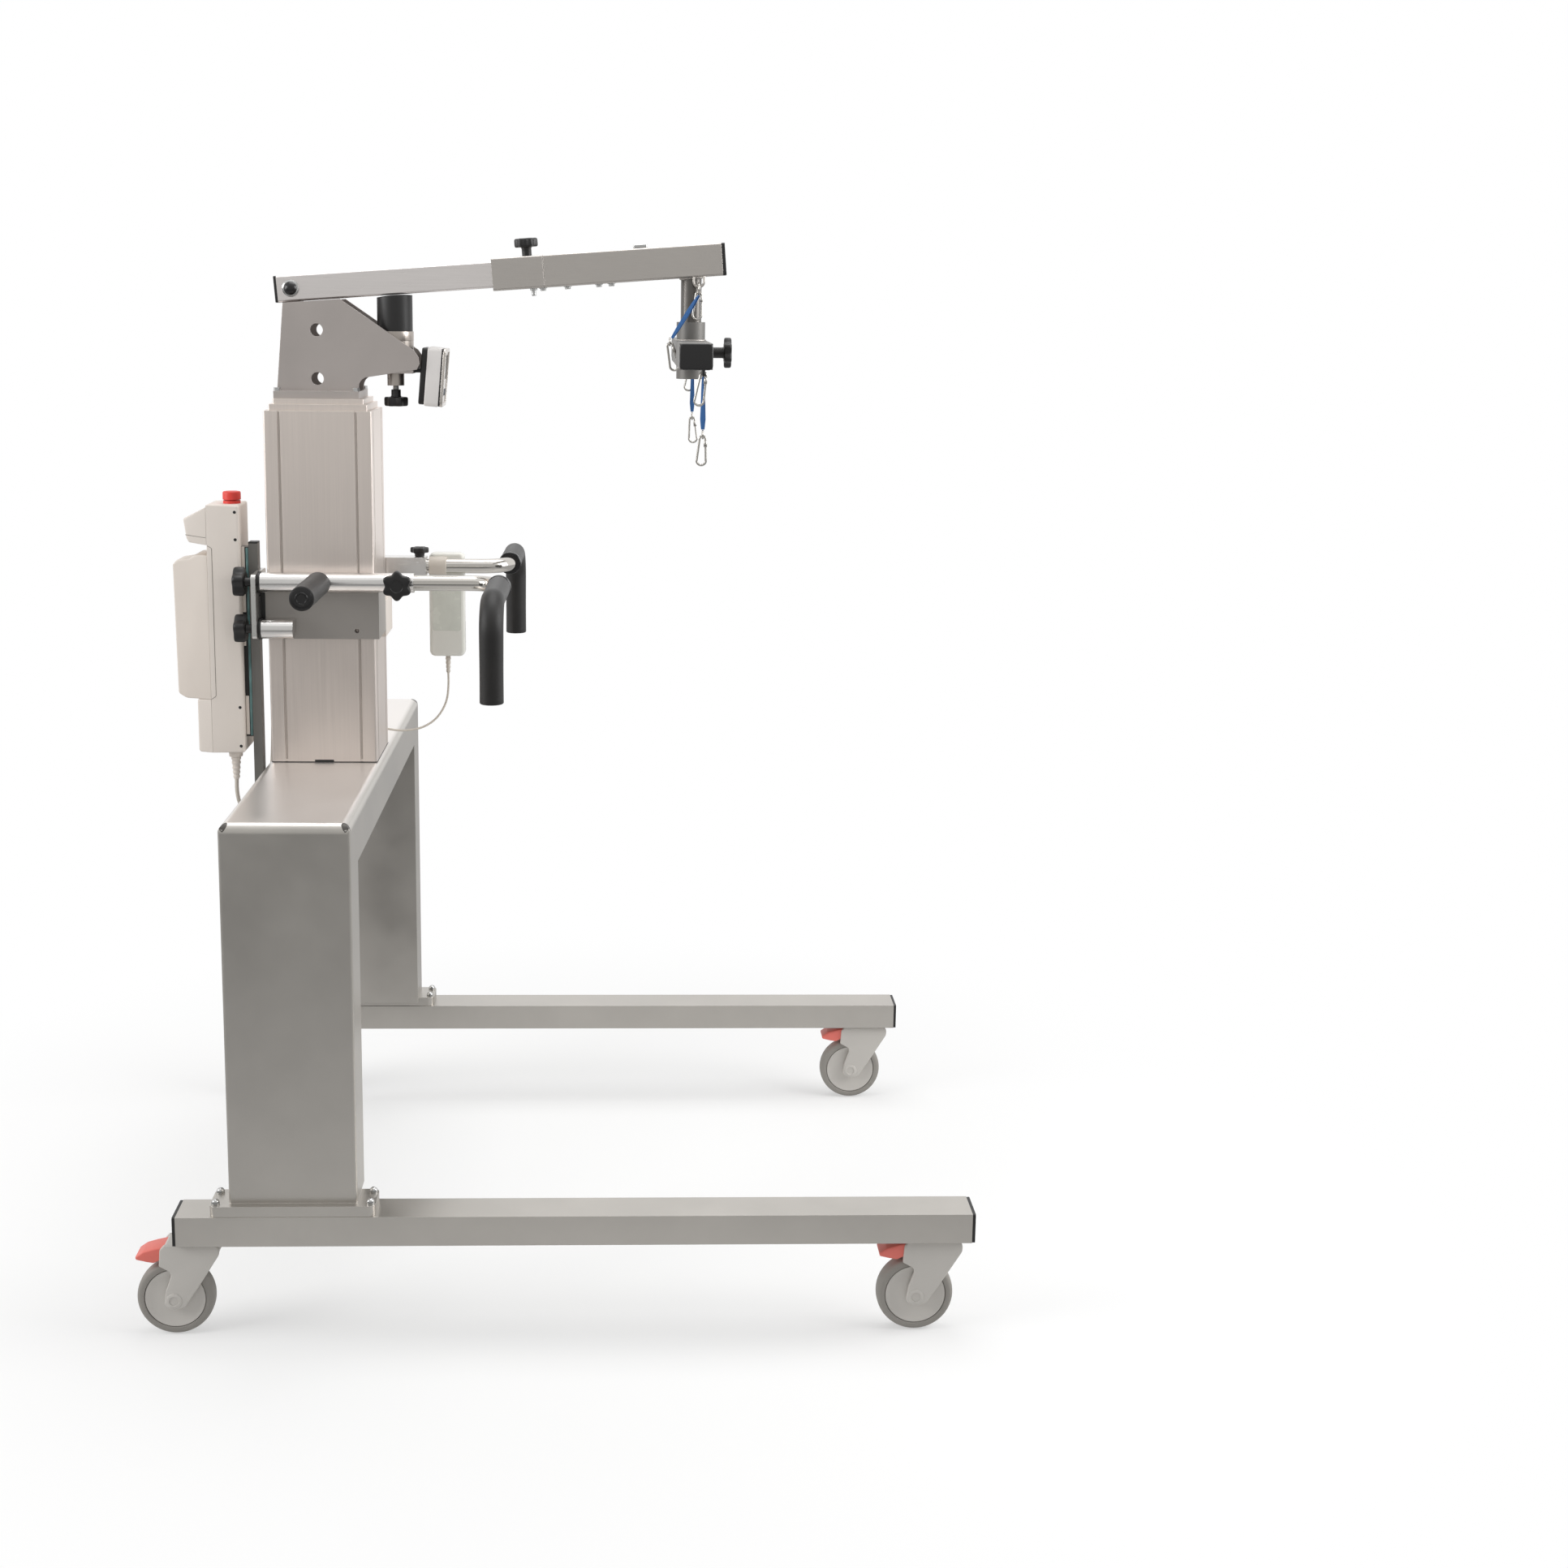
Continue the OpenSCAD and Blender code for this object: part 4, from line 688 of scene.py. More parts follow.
def add_grips():
    """Foam sleeves and black collars of the two bent handles."""
    start, bend_start, bend, drop = 170, 320, 50, 164
    turn = np.linspace(0, np.pi / 2, 24)
    y = np.hstack([[start], bend_start + bend * np.sin(turn), [bend_start + bend]])
    z = np.hstack([[HANDLE_Z], HANDLE_Z - bend + bend * np.cos(turn), [HANDLE_Z - drop]])
    collar = lathe([[13.9, 0], [19.6, 0], [21, 1.4], [21, 6.6], [19.6, 8], [13.9, 8]])
    for side, name in ((-1, "near"), (1, "far")):
        path = stack(GRIP_X, side * y, z)
        add_foam("grip_" + name, path, 19.8, 0.2, "handle_" + name)
        ended = set_at(collar, (GRIP_X, side * (start - 7.5), HANDLE_Z), (0, side, 0))
        add_piece("grip_collar_" + name, [ended], "black_gloss", "handle_" + name)


def add_stub():
    """Foam sleeve of the short side handle and its end plug with a ring."""
    x, start, end = 3.5, -135.4, -320
    add_foam("stub_grip", np.array([[x, start, HANDLE_Z], [x, end, HANDLE_Z]]), 20.9, 0.15, "frame")
    plug = lathe([[0, 0.3], [7.6, 0.3], [8.4, 1.3], [10.2, 1.4], [11, 0.5], [16.4, 0.8], [17.8, 0.3],
                  [18.4, -1.2], [18.4, -4]])
    add_piece("stub_grip_plug", [set_at(plug, (x, end, HANDLE_Z), -Y_AXIS)], "black_gloss")


# Slings

def strap_loop(top, down, length, widths, twist):
    """A band of webbing sewn into a loop: a thin rounded section along a flattened ring, whose two sides lie
    apart across the band; its width follows a curve over the length and its broad side turns evenly about the
    strap."""
    half, thick = 1.7, 0.6
    down = unit(down)
    out = np.cross(Y_AXIS, down)
    turn = whole_turn(120)
    along = length / 2 - (length / 2 - thick) * np.sin(turn)
    angle = np.radians(np.interp(along / length, [0, 0.45, 1], twist))[:, None]
    broad = np.cos(angle) * Y_AXIS + np.sin(angle) * out
    apart = np.cos(angle) * out - np.sin(angle) * Y_AXIS
    spread = half * np.sign(np.cos(turn)) * np.abs(np.cos(turn)) ** 0.3
    path = np.asarray(top, float) + spread[:, None] * apart + along[:, None] * down
    width = np.interp(along / length, np.linspace(0, 1, len(widths)), widths)
    section = box_outline(2 * thick, 1, 0.3, 3)
    return sweep(path, section, broad, stack(1, width), closed=True), True


def snap_hook(place, length, lean):
    """A pear shaped snap hook in the first and third axis: its rod follows a small arc above and a wider one
    below, joined by straight sides; one side is the gate, with a sleeve and a hinge pin. It may lean about
    its upper end."""
    rod, small, wide = 1.9, 4.9, 7.6
    up = rod - small
    low = rod - (length - 2 * rod) + wide
    slope = np.arcsin((wide - small) / (up - low))
    above = np.linspace(-np.pi / 2 - slope, np.pi / 2 + slope, 20)
    below = np.linspace(np.pi / 2 + slope, 1.5 * np.pi - slope, 22)
    loop = np.vstack([stack(small * np.sin(above), 0, up + small * np.cos(above)),
                      stack(wide * np.sin(below), 0, low + wide * np.cos(below))])
    loop = np.vstack([loop, loop[:1]])
    loop = at_lengths(loop, np.linspace(0, lengths(loop)[-1], 73)[:-1])
    gate = lathe([[0, -0.1], [2.5, -0.1], [2.9, 0.5], [2.9, 9.5], [2.5, 10.1], [0, 10.1]], 18)
    pin = lathe([[0, -3.4], [1.3, -3.4], [1.6, -3], [1.6, 3], [1.3, 3.4], [0, 3.4]], 14)
    turn = lean_back(np.radians(lean))
    body = sweep(loop, ring(rod, 14), Y_AXIS, closed=True)
    parts = [set_at(gate, (small + 0.5, 0, up - 13), (-0.07, 0, 1)),
             set_at(pin, ((small + wide) / 2 + 0.5, 0, low + 4), Y_AXIS)]
    return [(body @ turn + place, True)] + [part @ turn + place for part in parts]


RING, RING_ROD, CLEAR, HOOK = 6, 1.8, 0.3, 52
RING_BELOW = RING + RING_ROD + CLEAR
HOOK_BELOW = np.array([0, 0, RING_ROD + CLEAR - RING])


def add_center_sling():
    """Webbing loop, rings and two snap hooks of the middle sling, which leans back under the boom."""
    lean, side = np.radians([32, 4])
    strap, tuck = 88, 0.9
    down = np.array([-np.cos(side) * np.sin(lean), -np.sin(side), -np.cos(side) * np.cos(lean)])
    top = np.array([SLING_X, -34.4, 1689.75])
    loop = strap_loop(top, down, strap, [3.6, 6.4, 7.2, 6.8, 6.2, 4.2], (25, 70, 60))
    add_piece("center_strap", [loop], "blue_webbing_leaning", "center_sling", 50)
    end = top + (0, 0.9, 0) + down * (strap + RING_BELOW - tuck)
    link = np.array([SLING_X, -29, 1701.05])
    link_r, link_rod = 9, 2
    short = snap_hook(link + (0, 1.2, link_rod + CLEAR - link_r), HOOK, -4)
    lower = snap_hook(end + HOOK_BELOW, HOOK, 12)
    rings = [torus(link, link_r, link_rod), torus(end, RING, RING_ROD)]
    add_piece("center_hooks", rings + short + lower, "nickel", "center_sling", sharp=50)


def add_spreader_slings():
    """Webbing loops, rings and snap hooks of the two end slings, which hang from the spreader's eyes."""
    strap, strap_y = 86, 285
    end_hook, hook_y = 58, 298
    reach = 2.8
    straps = []
    hooks = []
    for side in SIDES:
        top = np.array([SLING_X, side * strap_y, EYE_Z - reach])
        straps.append(strap_loop(top, -Z_AXIS, strap, [4.6, 5.4, 5.8, 7, 8.4, 5.4], (20, 55, 75)))
        ring_at = top - (0, 0, strap + RING_BELOW)
        hooks.append(torus(ring_at, RING, RING_ROD))
        hooks += snap_hook(ring_at + HOOK_BELOW, HOOK, 3 * side)
        hooks += snap_hook((SLING_X, side * hook_y, EYE_Z + reach), end_hook, -9)
    add_piece("spreader_straps", straps, "blue_webbing", "spreader_slings", sharp=50)
    add_piece("spreader_hooks", hooks, "nickel", "spreader_slings", sharp=50)


# Knobs

def lobed_knob(radius, lobes, height, stem_r, stem_h):
    """A hand knob about the third axis: its head's radius is a mean plus a cosine of the angle times the
    lobes, drawn in towards both faces, with a round recess on top; the stem is turned."""
    turn = whole_turn(24 * lobes)
    outline = radius * (0.895 + 0.105 * np.cos(lobes * turn))
    low, top = stem_h, stem_h + height
    reach = np.array([0, 0.6, 0.9, 0.97, 1, 1, 0.985, 0.94, 0.86, 0.5, 0.46, 0])[:, None]
    level = np.array([low, low, low, low + 0.06 * height, low + 0.2 * height, top - 0.3 * height,
                      top - 0.14 * height, top - 0.04 * height, top, top, top - 0.9, top - 0.9])[:, None]
    radii = reach * np.where(reach > 0.55, outline, 0.86 * radius)
    head = stack(radii * np.cos(turn), radii * np.sin(turn), level)
    stem = lathe([[0, 0.2], [stem_r - 0.8, 0.2], [stem_r, 1], [stem_r, stem_h - 3],
                  [stem_r + 1.5, stem_h + 0.5], [0, stem_h + 0.5]], 28)
    return [head, stem]


def add_knobs():
    """All the hand knobs, each on its own screw: name, body, place, direction and the knob's sizes."""
    boom_up = Z_AXIS @ lean_back(TILT)
    gap = 0.3
    spots = [
        ("boom_lock_knob", "boom_lock", on_boom((413, 0, BOOM_HALF + gap)), boom_up,
         (20.5, 6, 15, 8.5, 15.5)),
        ("spreader_knob", "spreader_lock", SPREADER + (39, 0, 0), X_AXIS, (26.5, 6, 13, 9.5, 20)),
        ("preload_knob", "preload", HINGES["preload"] + (0, 0, 2), -Z_AXIS, (21, 6, 16, 8.5, 13.3)),
        ("clamp_knob_upper", "clamp_screw_upper", HINGES["clamp_screw_upper"] - (gap, 0, 0), -X_AXIS,
         (26.5, 5, 20, 8, 13.5)),
        ("clamp_knob_lower", "clamp_screw_lower", HINGES["clamp_screw_lower"] - (gap, 0, 0), -X_AXIS,
         (25.5, 5, 20, 8, 13.5)),
        ("star_knob_near", "star_near", HINGES["star_near"] - (0, gap, 0), -Y_AXIS, (26, 6, 16, 9, 14)),
        ("star_knob_far", "star_far", HINGES["star_far"] + (0, 0, gap), Z_AXIS, (17, 6, 10, 9, 7)),
    ]
    for name, body, place, along, sizes in spots:
        shapes = [set_at(shape, place, along) for shape in lobed_knob(*sizes)]
        add_piece(name, shapes, "black_plastic", body, sharp=40)


def add_screws():
    """The bright nut behind the spreader's knob, and the thread above the preload knob, whose radius is a
    wave of the height."""
    nut = lathe([[0, 0], [9.5, 0], [10.2, 0.8], [10.2, 6.5], [9.4, 7.4], [4, 7.4], [4, 12.2], [0, 12.2]], 6)
    add_piece("spreader_nut", [set_at(nut, SPREADER + (27.1, 0, 0), X_AXIS)], "zinc_steel", "spreader_lock",
              sharp=20)
    tall, threads = 7, 4
    height = np.linspace(0, tall, 29)
    thread = stack(5.2 + 0.5 * np.cos(height / tall * threads * 2 * np.pi), height)
    add_piece("preload_screw", [lathe(thread, 28) + HINGES["preload"] + (0, 0, 2)], "zinc_steel",
              "preload", sharp=50)


# Control box, handset and display

def taper(shape):
    """Draws a box in towards its middle plane, evenly from the back of the case to the battery's end."""
    thin, middle = 0.58, np.mean(BOX_SIDES)
    x, y, z = np.moveaxis(shape, -1, 0)
    share = np.clip((BOX_BACK_X - x) / (BOX_BACK_X - CELL_END_X), 0, 1)
    size = 1 - share * (1 - thin)
    return stack(x, middle + (y - middle) * size, z)


def moulding(corners, radii, edges, sides=BOX_SIDES):
    """A rounded side profile thickened across the box, with one edge radius for the points of each corner."""
    return upright(round_corners(corners, radii), *sides, np.repeat(edges, CORNER_STEPS))


def add_control_box():
    """Control box with its beak and foot, and the ribbed cable gland."""
    front, foot_x, back = BOX_FRONT_X, -222, BOX_BACK_X
    foot_top = CELL_LOW - 0.3
    main = moulding([[front, BOX_LOW], [back, BOX_LOW], [back, BOX_TOP], [front, BOX_TOP]], [4, 1, 1, 4],
                    [3.5, 0.8, 0.8, 3.5])
    beak = moulding([[back, CELL_TOP + 27], [-229, CELL_TOP + 31], [-233, CELL_TOP + 38],
                     [-238, CELL_TOP + 72], [back, BOX_TOP - 3.5]], [1, 4, 4, 4, 1], [0.8, 3, 3, 3, 0.8])
    foot = moulding([[back, BOX_LOW], [foot_x, BOX_LOW], [foot_x, foot_top], [back, foot_top]], [1, 5, 4, 1],
                    [0.8, 3, 3, 0.8])
    rib = np.linspace(0, 1, 41)
    bulge = np.where(rib < 0.24, 3.4, np.where(np.cos(rib * 13 * np.pi) > 0, 0.6, -0.4))
    relief = stack(9.4 - 4.4 * rib + bulge, BOX_LOW + 0.4 - rib * GLAND_LENGTH)
    gland = lathe(relief, 28) + (-161, -60, 0)
    add_piece("control_box", [main, taper(beak), taper(foot), gland], "cream_plastic", sharp=30)


def add_battery():
    """The clip-on battery, a little narrower than the box."""
    corners = [[BOX_BACK_X, CELL_LOW], [-242, CELL_LOW], [-257, CELL_LOW + 8], [CELL_END_X, CELL_TOP - 9],
               [-252, CELL_TOP - 1], [-230, CELL_TOP + 2], [-219, CELL_TOP + 9], [-204, CELL_TOP + 10],
               [BOX_BACK_X, CELL_TOP + 9]]
    pack = moulding(corners, [1, 16, 7, 4, 8, 8, 6, 3, 1], [0.8, 3, 3, 3, 3, 3, 3, 3, 0.8], (-87.6, 1.6))
    add_piece("battery", [taper(pack)], "battery_plastic", "battery_pack", sharp=30)


def add_box_details():
    """Seams and screws on both sides of the box, and the stop button with its collar."""
    seam = round_corners([[-195, CELL_TOP + 26], [-187.5, CELL_TOP + 22], [-187.5, CELL_LOW + 6],
                          [-195, CELL_LOW + 1]], 4, False)
    line = np.array([[-234.4, CELL_TOP + 44], [-197, CELL_TOP + 40]])
    paths = [np.insert(seam, 1, y, axis=1) for y in BOX_SIDES]
    paths += [taper(np.insert(line, 1, y, axis=1)) for y in BOX_SIDES]
    add_piece("box_seams", [sweep(path, ring(0.45, 8), Y_AXIS) for path in paths], "seam_shadow")
    head = lathe([[0, 0.15], [1.2, 0.15], [1.5, 0.35], [2.4, 0.35], [2.9, -0.1], [2.9, -1]], 16)
    heights = (BOX_LOW + 12, BOX_LOW + 82, BOX_TOP - 60, BOX_TOP - 12)
    screws = [set_at(head, (-146, y, z), np.sign(y) * Y_AXIS) for y in BOX_SIDES for z in heights]
    add_piece("box_screws", screws, "black_plastic")
    at = (-158, -45, BOX_TOP)
    button = lathe([[0, 20.8], [11, 20.6], [14.4, 20], [15.5, 18.6], [15.8, 16.5], [15.8, 6.3], [15.4, 5.9],
                    [8, 5.9], [8, -6]], 48)
    add_piece("emergency_button", [button + at + (0, 0, 0.6)], "stop_red", "stop_button", 40)
    collar = lathe([[8.5, 0], [15.2, 0], [15.2, 4.6], [14.8, 5], [8.5, 5]], 48)
    add_piece("button_collar", [collar + at], "stop_red")


def add_handset():
    """Handset of pale plastic, its hook over the far bar, the ribbed cable relief and the window in front."""
    low, top = HANDLE_Z - 173, HANDLE_Z + 22
    front, rod, hook_x, cable_y = 133, 15.8, 187, 148
    shell = upright(box_outline(66, top - low, 10), front, 163, 6) + (HANDSET_X, 0, (low + top) / 2)
    turn = np.linspace(-np.pi / 2, np.pi / 2, 18)
    y = np.hstack([[HANDLE_Y - rod], HANDLE_Y + rod * np.sin(turn), [HANDLE_Y + rod, 136]])
    z = np.hstack([[HANDLE_Z - 13.5], HANDLE_Z + rod * np.cos(turn), [HANDLE_Z - 3, HANDLE_Z - 3.4]])
    hook = sweep(stack(hook_x, y, z), box_outline(3.4, 32, 1.2), X_AXIS)
    rib = np.linspace(0, 1, 33)
    bulge = np.where(np.cos(rib * 9 * np.pi) > 0, 0.5, -0.25)
    relief = lathe(stack(5 - 1.9 * rib + bulge, low + 1.5 - rib * 35), 24) + (HANDSET_X, cable_y, 0)
    add_piece("handset", [shell], "handset_plastic", sharp=40)
    add_piece("handset_hook", [hook, relief], "cable_grey", sharp=40)
    window = upright(box_outline(54, 78, 5), front - 0.5, front + 1.5, 0.5) + (HANDSET_X, 0, low + 88)
    band = upright(box_outline(56, 5, 2), front - 0.4, front + 1.5, 0.4) + (HANDSET_X, 0, low + 136)
    add_piece("handset_window", [window, band], "handset_window", sharp=40)


def on_display(shape):
    """From the display's own axes to the frame: moved to the head's nose and leaning back a little."""
    return shape @ lean_back(np.radians(-5)) + (194.5, 6, HEAD_TOP + 25)


def layer(width, height, radius, back, front, edge, aside=0, above=0):
    """A rounded plate square to the display's own first axis."""
    plate = facing(box_outline(width, height, radius), back, front, edge)
    return on_display(plate + (0, aside, above))


def add_display():
    """Display at the head's nose: white case, dark back with its arm, gasket, silver bezel, glass, keys."""
    body = "lift_inner"
    add_piece("display", [layer(78, 103, 7, -11.5, 13.6, 2.5), layer(70, 95, 5, 13, 18.4, 0.6)],
              "display_plastic", body)
    arm = facing(box_outline(24, 8, 2), 160, 186, 1) + (0, 0, HEAD_TOP + 36)
    back = layer(74, 99, 6, -21.5, -11, 2.5)
    gasket = layer(76, 101, 6, 13.4, 15.6, 0.4)
    add_piece("display_back", [back, gasket, arm], "black_plastic", body)
    rim = np.insert(box_outline(70, 95, 5), 0, 18.3, axis=1)
    bezel = sweep(rim, box_outline(7, 5.6, 1.6), X_AXIS, closed=True)
    add_piece("display_bezel", [(on_display(bezel), True)], "silver_paint", body)
    add_piece("display_glass", [layer(56, 42, 3, 17.6, 18.9, 0.3, 0, 18)], "screen_glass", body)
    keys = [layer(12, 12, 5.8, 17.6, 19.8, 0.8, aside, -26) for aside in (-18, 0, 18)]
    add_piece("display_keys", keys, "key_plastic", body)


# Casters

def fork_shapes():
    """Two side plates, the crown between them, the swivel race above and a hub cap on each plate."""
    plate = round_corners([[27, 160.2], [27, 143], [-9, 85], [-31, 52], [-48, 45.5], [-65, 55], [-61, 80],
                           [-50, 112], [-71, 124], [-69, 152], [-62, 160.2]],
                          [9, 14, 30, 10, 13, 11, 25, 9, 3, 8, 6])
    crown = round_corners([[26, 160.2], [26, 140], [4, 131], [-48, 131], [-66, 140], [-62, 160.2]],
                          [9, 10, 10, 6, 6, 6])
    race = lathe([[0, 158.5], [21, 158.5], [24, 159.5], [24.4, 160.6], [23.6, 162.6], [0, 162.6]], 48)
    hub = lathe([[0, 0.2], [7.4, 0.2], [7.8, 1.4], [12, 1.4], [13, 0.6], [13.2, -2]])
    middle, half = 21.5, 3.5
    plates = [upright(plate, side * middle - half, side * middle + half, 2.2) for side in SIDES]
    hubs = [set_at(hub, AXLE + (0, side * (middle + half), 0), (0, side, 0)) for side in SIDES]
    return plates + [upright(crown, -22, 22, 3), race] + hubs


def wheel_shapes():
    """The tyre, whose tread is a rounded arch, and the dished disc inside it."""
    turn = np.linspace(-np.pi / 2, np.pi / 2, 22)
    half = 15.7
    arch = stack(53.5 + 10 * np.cos(turn) ** 0.7, half * np.sign(turn) * np.abs(np.sin(turn)) ** 0.7)
    wall = np.array([[50.4, -12], [50.4, -14.8], [51.2, -half]])
    tread = np.vstack([wall, arch, wall[::-1] * (1, -1)])
    dish = np.array([[5.2, -15.2], [10, -15.2], [12, -14.6], [40, -13.4], [45, -14.6], [48.8, -15],
                     [49.6, -14.2]])
    disc = np.vstack([dish, dish[::-1] * (1, -1)])
    return set_at(lathe(tread, 96), AXLE, Y_AXIS), set_at(lathe(disc, 72), AXLE, Y_AXIS)


def add_casters():
    """Forks, tyres, wheel discs and brake pedals of the four casters, all alike and trailing to the rear."""
    pedal = round_corners([[-52, 158], [-80, 152], [-97, 147], [-110, 138], [-109, 133], [-92, 129],
                           [-80, 127], [-66, 134], [-56, 144]], [3, 14, 10, 3, 3, 8, 6, 8, 5])
    fork = fork_shapes()
    tyre, disc = wheel_shapes()
    for name, at in CASTERS.items():
        wheel = "caster_wheel_" + name
        add_piece("fork_" + name, [shape + at for shape in fork], "caster_grey", "caster_" + name, sharp=40)
        add_piece("wheel_" + name, [tyre + at], "caster_tread", wheel, sharp=40)
        add_piece("wheel_disc_" + name, [disc + at], "caster_grey", wheel, sharp=25)
        add_piece("pedal_" + name, [upright(pedal, -20, 20, 2.8) + at], "red_plastic", "brake_" + name)


# Small fittings

def add_boom_trim():
    """Rear cap of the boom, the bolts and stud under it, the block on it and the pivot's washers."""
    cap = facing(box_outline(45.8, 45.8, 2.5), -28.6, -23.6, 1)
    add_piece("boom_rear_cap", [on_boom(cap)], "black_plastic", "boom")
    bolt = lathe([[0, -5.4], [4.4, -5.4], [5.2, -4.6], [5.2, -1.4], [7.2, -1.2], [7.2, 0.3], [0, 0.3]], 24)
    stud = lathe([[0, -13], [3.2, -13], [4, -12.2], [4, -3.6], [6.4, -3.4], [6.4, 0.3], [0, 0.3]], 24)
    stud_x, block_x = 420, 612
    block = slab(box_outline(25, 20, 3), BOOM_HALF - 0.2, BOOM_HALF + 7, 1.5) + (block_x, 0, 0)
    under = [bolt + (x, 0, -BOOM_HALF) for x in (437, 480, 535, 557)]
    fittings = under + [stud + (stud_x, 0, -BOOM_HALF), block]
    add_piece("boom_fittings", [on_boom(shape) for shape in fittings], "zinc_steel", "boom_extension",
              sharp=30)
    washer = lathe([[10.2, 25.6], [10.6, 26.6], [12.4, 26.3], [14.4, 25.2], [14.6, 24.2], [14.2, 22.6],
                    [10.2, 22.6]], 48)
    washers = [set_at(washer, PIVOT, (0, side, 0)) for side in SIDES]
    add_piece("pivot_washers", washers, "zinc_steel", "lift_inner", sharp=30)


def add_column_trim():
    """Shadow strips in the column's grooves, and the dark joint and slit at its foot."""
    wide, thin, deep = 2.6, 0.8, 1.8
    groove_x, groove_y = 66.5, 57
    low, high = PORTAL_TOP + 0.6, PORTAL_TOP + 620
    along_x = slab(box_outline(wide, thin, 0.2), low, high, 0.1)
    along_y = slab(box_outline(thin, wide, 0.2), low, high, 0.1)
    grooves = []
    for side_x in SIDES:
        for side_y in SIDES:
            grooves.append(along_x + (side_x * groove_x, side_y * (COLUMN_HALF_Y - deep), 0))
            grooves.append(along_y + (side_x * (COLUMN_HALF_X - deep), side_y * groove_y, 0))
    add_piece("groove_shadows", grooves, "groove_shadow")
    foot = box_outline(2 * COLUMN_HALF_X - 0.4, 2 * COLUMN_HALF_Y - 0.4, 3)
    joint = sweep(np.insert(foot, 2, PORTAL_TOP + 0.9, axis=1), ring(0.9, 8), Z_AXIS, closed=True)
    slit = upright(box_outline(34, 4.2, 1), -COLUMN_HALF_Y - 0.3, -COLUMN_HALF_Y + 1.2, 0.2)
    add_piece("column_joint", [(joint, True), slit + (0, 0, PORTAL_TOP + 2.9)], "black_plastic")


def add_fold_notches():
    """Dark round spots at the portal's four upper corners: discs laid on the rounded folds, whose height is
    the lower of the two folds' quarter circles."""
    fold, spot = 16, 8.5
    corner_x, corner_y = 88, 509
    rim = np.array([0, 3, 5.5, 7, 7.4, 7, 0])[:, None]
    lift = np.array([0.25, 0.25, 0.25, 0.2, -0.2, -1, -1])[:, None]
    turn = whole_turn(32)
    x = spot + rim * np.cos(turn)
    y = spot + rim * np.sin(turn)
    drop = np.minimum(*[np.sqrt(np.clip(fold ** 2 - run ** 2, 0, None)) for run in (x, y)])
    z = PORTAL_TOP - fold + drop + lift
    notches = [stack(side_x * (corner_x + x), side_y * (corner_y + y), z)
               for side_x in SIDES for side_y in SIDES]
    add_piece("fold_notches", notches, "fold_shadow", sharp=60)


def add_rings():
    """Bright collar of the suspension housing, and a black slab behind the clamp plate as painted shade in the gap
    there.
    """
    collar = lathe([[31.7, 1606], [32.2, 1606], [32.5, 1607], [32.5, 1621.6], [32.2, 1622.4],
                    [31.7, 1622.4]], 64)
    add_piece("housing_collar", [collar + (SUSPENSION_X, 0, 0)], "housing_steel", "lift_inner",
              sharp=30)
    # A black slab where the clamp plate stands off its housing: painted shade of that gap, not a part.
    gap_shade_x, gap_shade_z = -98.6, 1130.7
    gasket = upright(box_outline(8.2, 82.3, 1), -100.5, -60, 0.6) + (gap_shade_x, 0, gap_shade_z)
    add_piece("clamp_gap_shade", [gasket], "black_plastic")


def bead(radius, height, size):
    """A weld bead round the third axis: a ring of round rod whose size wavers with a sine of the angle."""
    turn = whole_turn(160)[:, None]
    spin = whole_turn(16)
    rod = size * (1 + 0.12 * np.sin(turn * 40))
    out = radius + rod * np.cos(spin)
    return stack(out * np.cos(turn), out * np.sin(turn), height + rod * np.sin(spin))


def add_welds():
    """Weld beads of the swivel: under the boom, tilted with it, and on the spreader's sleeve."""
    post_x = SPREADER[0]
    under = PIVOT[2] + (post_x - PIVOT[0]) * np.tan(TILT) - BOOM_HALF / np.cos(TILT)
    post = bead(18.6, 0, 2.2)
    post[..., 2] += post[..., 0] * np.tan(TILT)
    post = post + (post_x, 0, under - 0.6)
    add_piece("post_weld", [(post, True)], "boom_grey", "boom_extension", sharp=60)
    sleeve = bead(25.4, 21.4, 1.6) + SPREADER
    add_piece("sleeve_weld", [(sleeve, True)], "boom_grey", "spreader", sharp=60)


def bars(spans, near, far):
    """Upright bars of given first axis and height spans between two places of the second axis; heights start
    from the box's underside."""
    return [upright(box_outline(right - left, high - low, 0.8), near, far, 0.6)
            + ((left + right) / 2, 0, BOX_LOW + (low + high) / 2) for left, right, low, high in spans]


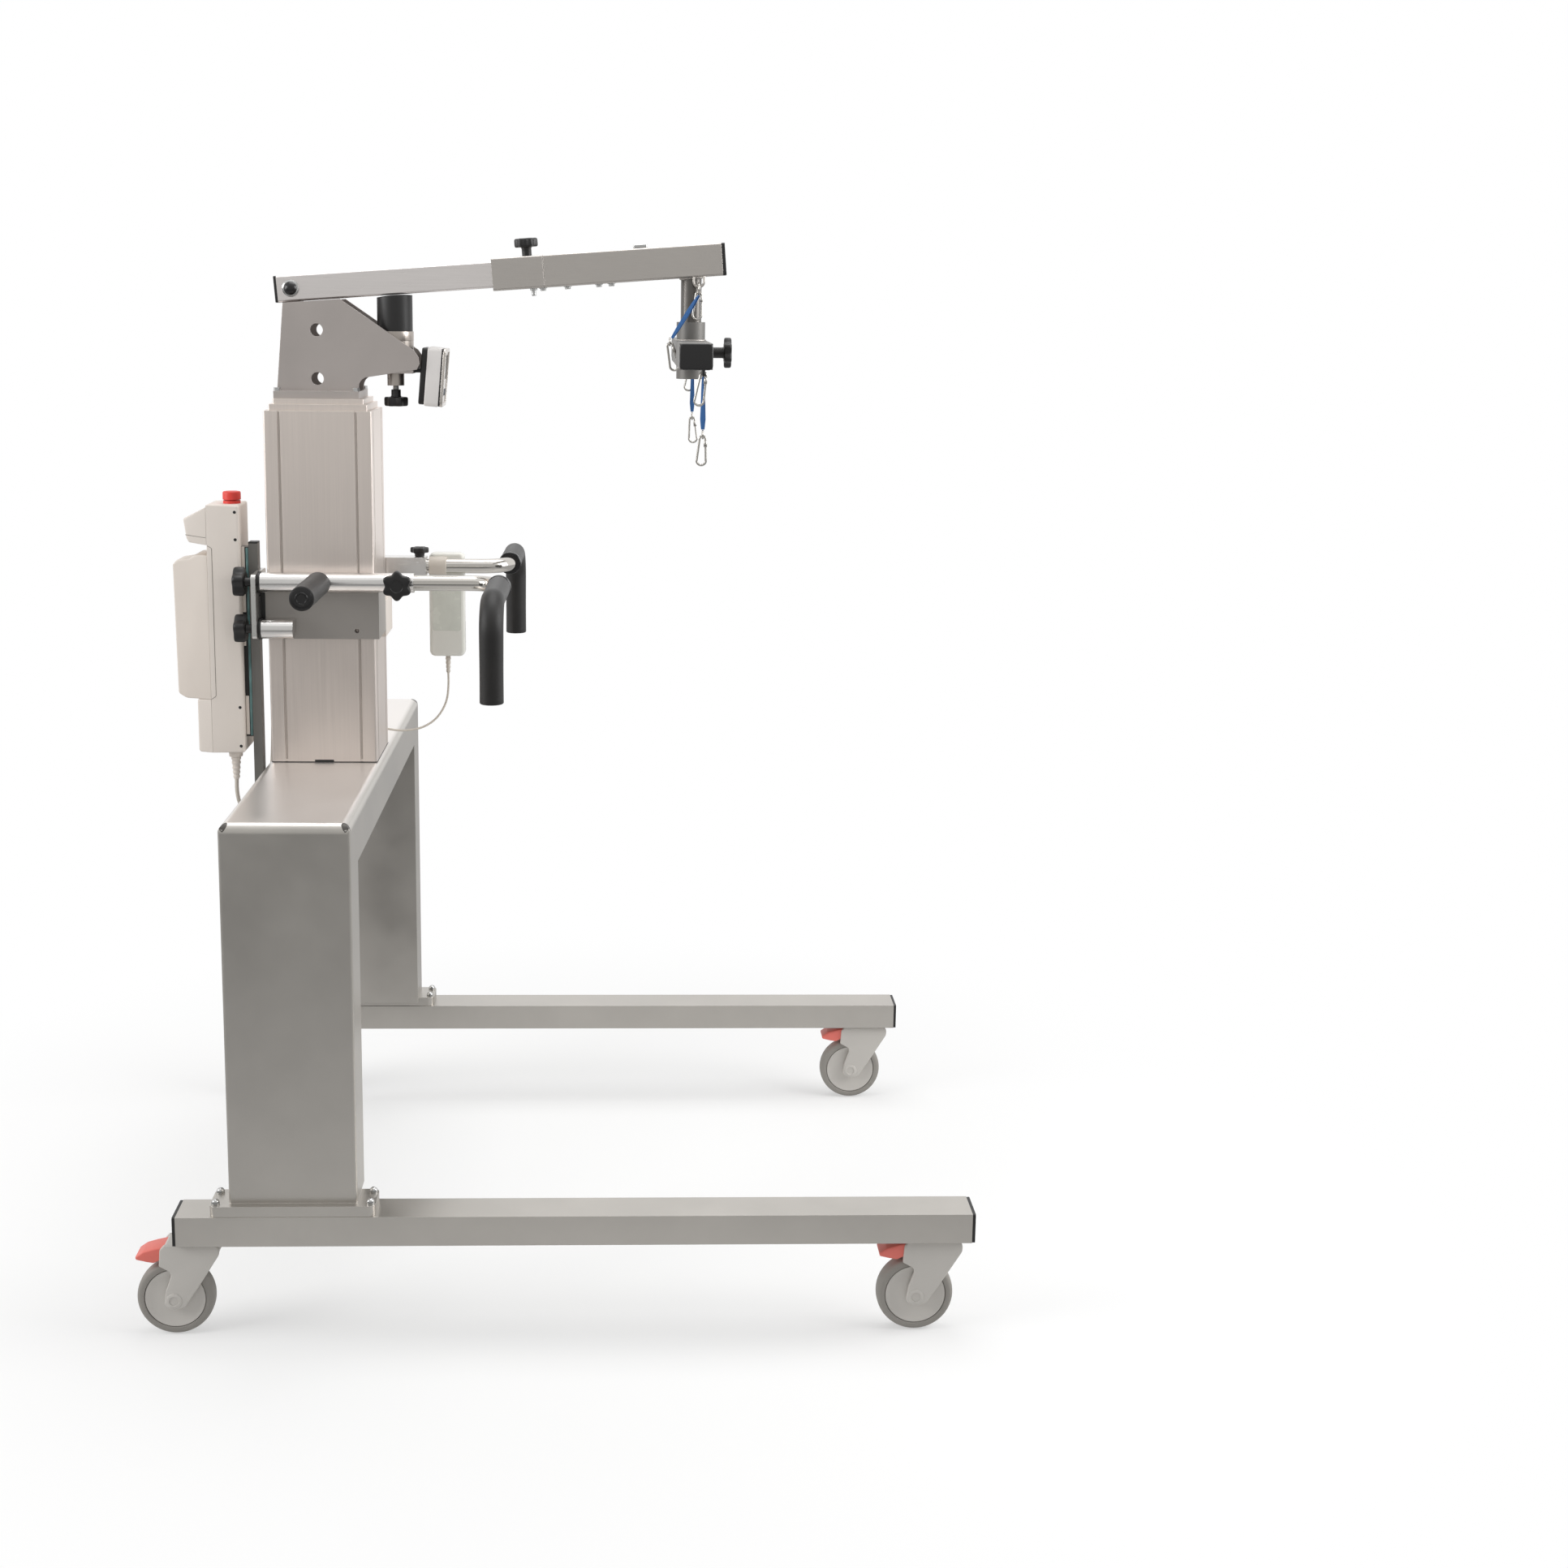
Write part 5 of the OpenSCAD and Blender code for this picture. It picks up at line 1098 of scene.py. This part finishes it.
def add_mast_trim():
    """Clear edge, clips and dark gap of the strip at the mast, the mast's cap and the sockets' cuffs."""
    clips = [(-139.2, -133.6, 250, 366), (-139.2, -135.2, 190, 205), (-138.8, -133, 30, 100)]
    add_piece("strip_edge", bars([(-131.8, -127.2, 28, 364)], -71.4, -69), "clear_edge")
    add_piece("strip_clips", bars(clips, -72, -69), "cream_plastic")
    gap = bars([(-139.3, -126.9, 27, 365)], -70.6, -69.5)
    add_piece("strip_shadow", gap, "black_plastic")
    mast_x, mast_y, cuff_x = -118.8, -60, -102.7
    cap = slab(box_outline(16.4, 24.4, 1), HANDLE_Z + 61.6, HANDLE_Z + 64.6, 0.8) + (mast_x, mast_y, 0)
    add_piece("mast_cap", [cap], "black_plastic")
    cuff = lathe([[17.2, 0], [18.6, 0], [18.8, 0.4], [18.8, 4.2], [18.4, 4.8], [17.2, 4.8]], 48)
    cuffs = [set_at(cuff, (cuff_x, -HANDLE_Y, HANDLE_Z - drop), X_AXIS) for drop in (0, SOCKET_DROP)]
    add_piece("socket_cuffs", cuffs, "black_plastic")


def add_spreader_caps():
    """End caps of the spreader, each with a bent rod as the eye under it."""
    eye = round_corners([[-15, 0.5], [-15, -9], [15, -9], [15, 0.5]], 3, False)
    inner, outer = 300, 311
    eye_y, under = 290, 21
    shapes = []
    for side in SIDES:
        shapes.append(upright(box_outline(55, 43, 7), *sorted((side * inner, side * outer)), 3) + SPREADER)
        path = stack(SLING_X - SPREADER[0], side * eye_y + eye[:, 0], eye[:, 1] - under)
        shapes.append(sweep(path, ring(2.5, 16), X_AXIS) + SPREADER)
    add_piece("spreader_caps", shapes, "black_gloss", "spreader", sharp=40)


light_studio()
set_camera()
finish = make_finishes()

# The CAD solids take the finish of their slot, apart from three that have their own.
# The portal's own finish carries a painted highlight on its top.
own_finish = {"spreader_bar": "spreader_steel", "portal": "portal_paint_lit_top", "spring_housing": "housing_steel"}
slots = {part["node"]: part["material_slot"] for part in frame["record"]["subparts"]}
for name, obj in nodes.items():
    obj.data.materials.clear()
    obj.data.materials.append(finish[own_finish.get(name, slots[name])])

add_cords()
add_grips()
add_stub()
add_center_sling()
add_spreader_slings()
add_knobs()
add_screws()
add_control_box()
add_battery()
add_box_details()
add_handset()
add_display()
add_casters()
add_boom_trim()
add_column_trim()
add_fold_notches()
add_rings()
add_welds()
add_mast_trim()
add_spreader_caps()

scene.view_settings.view_transform = "Standard"
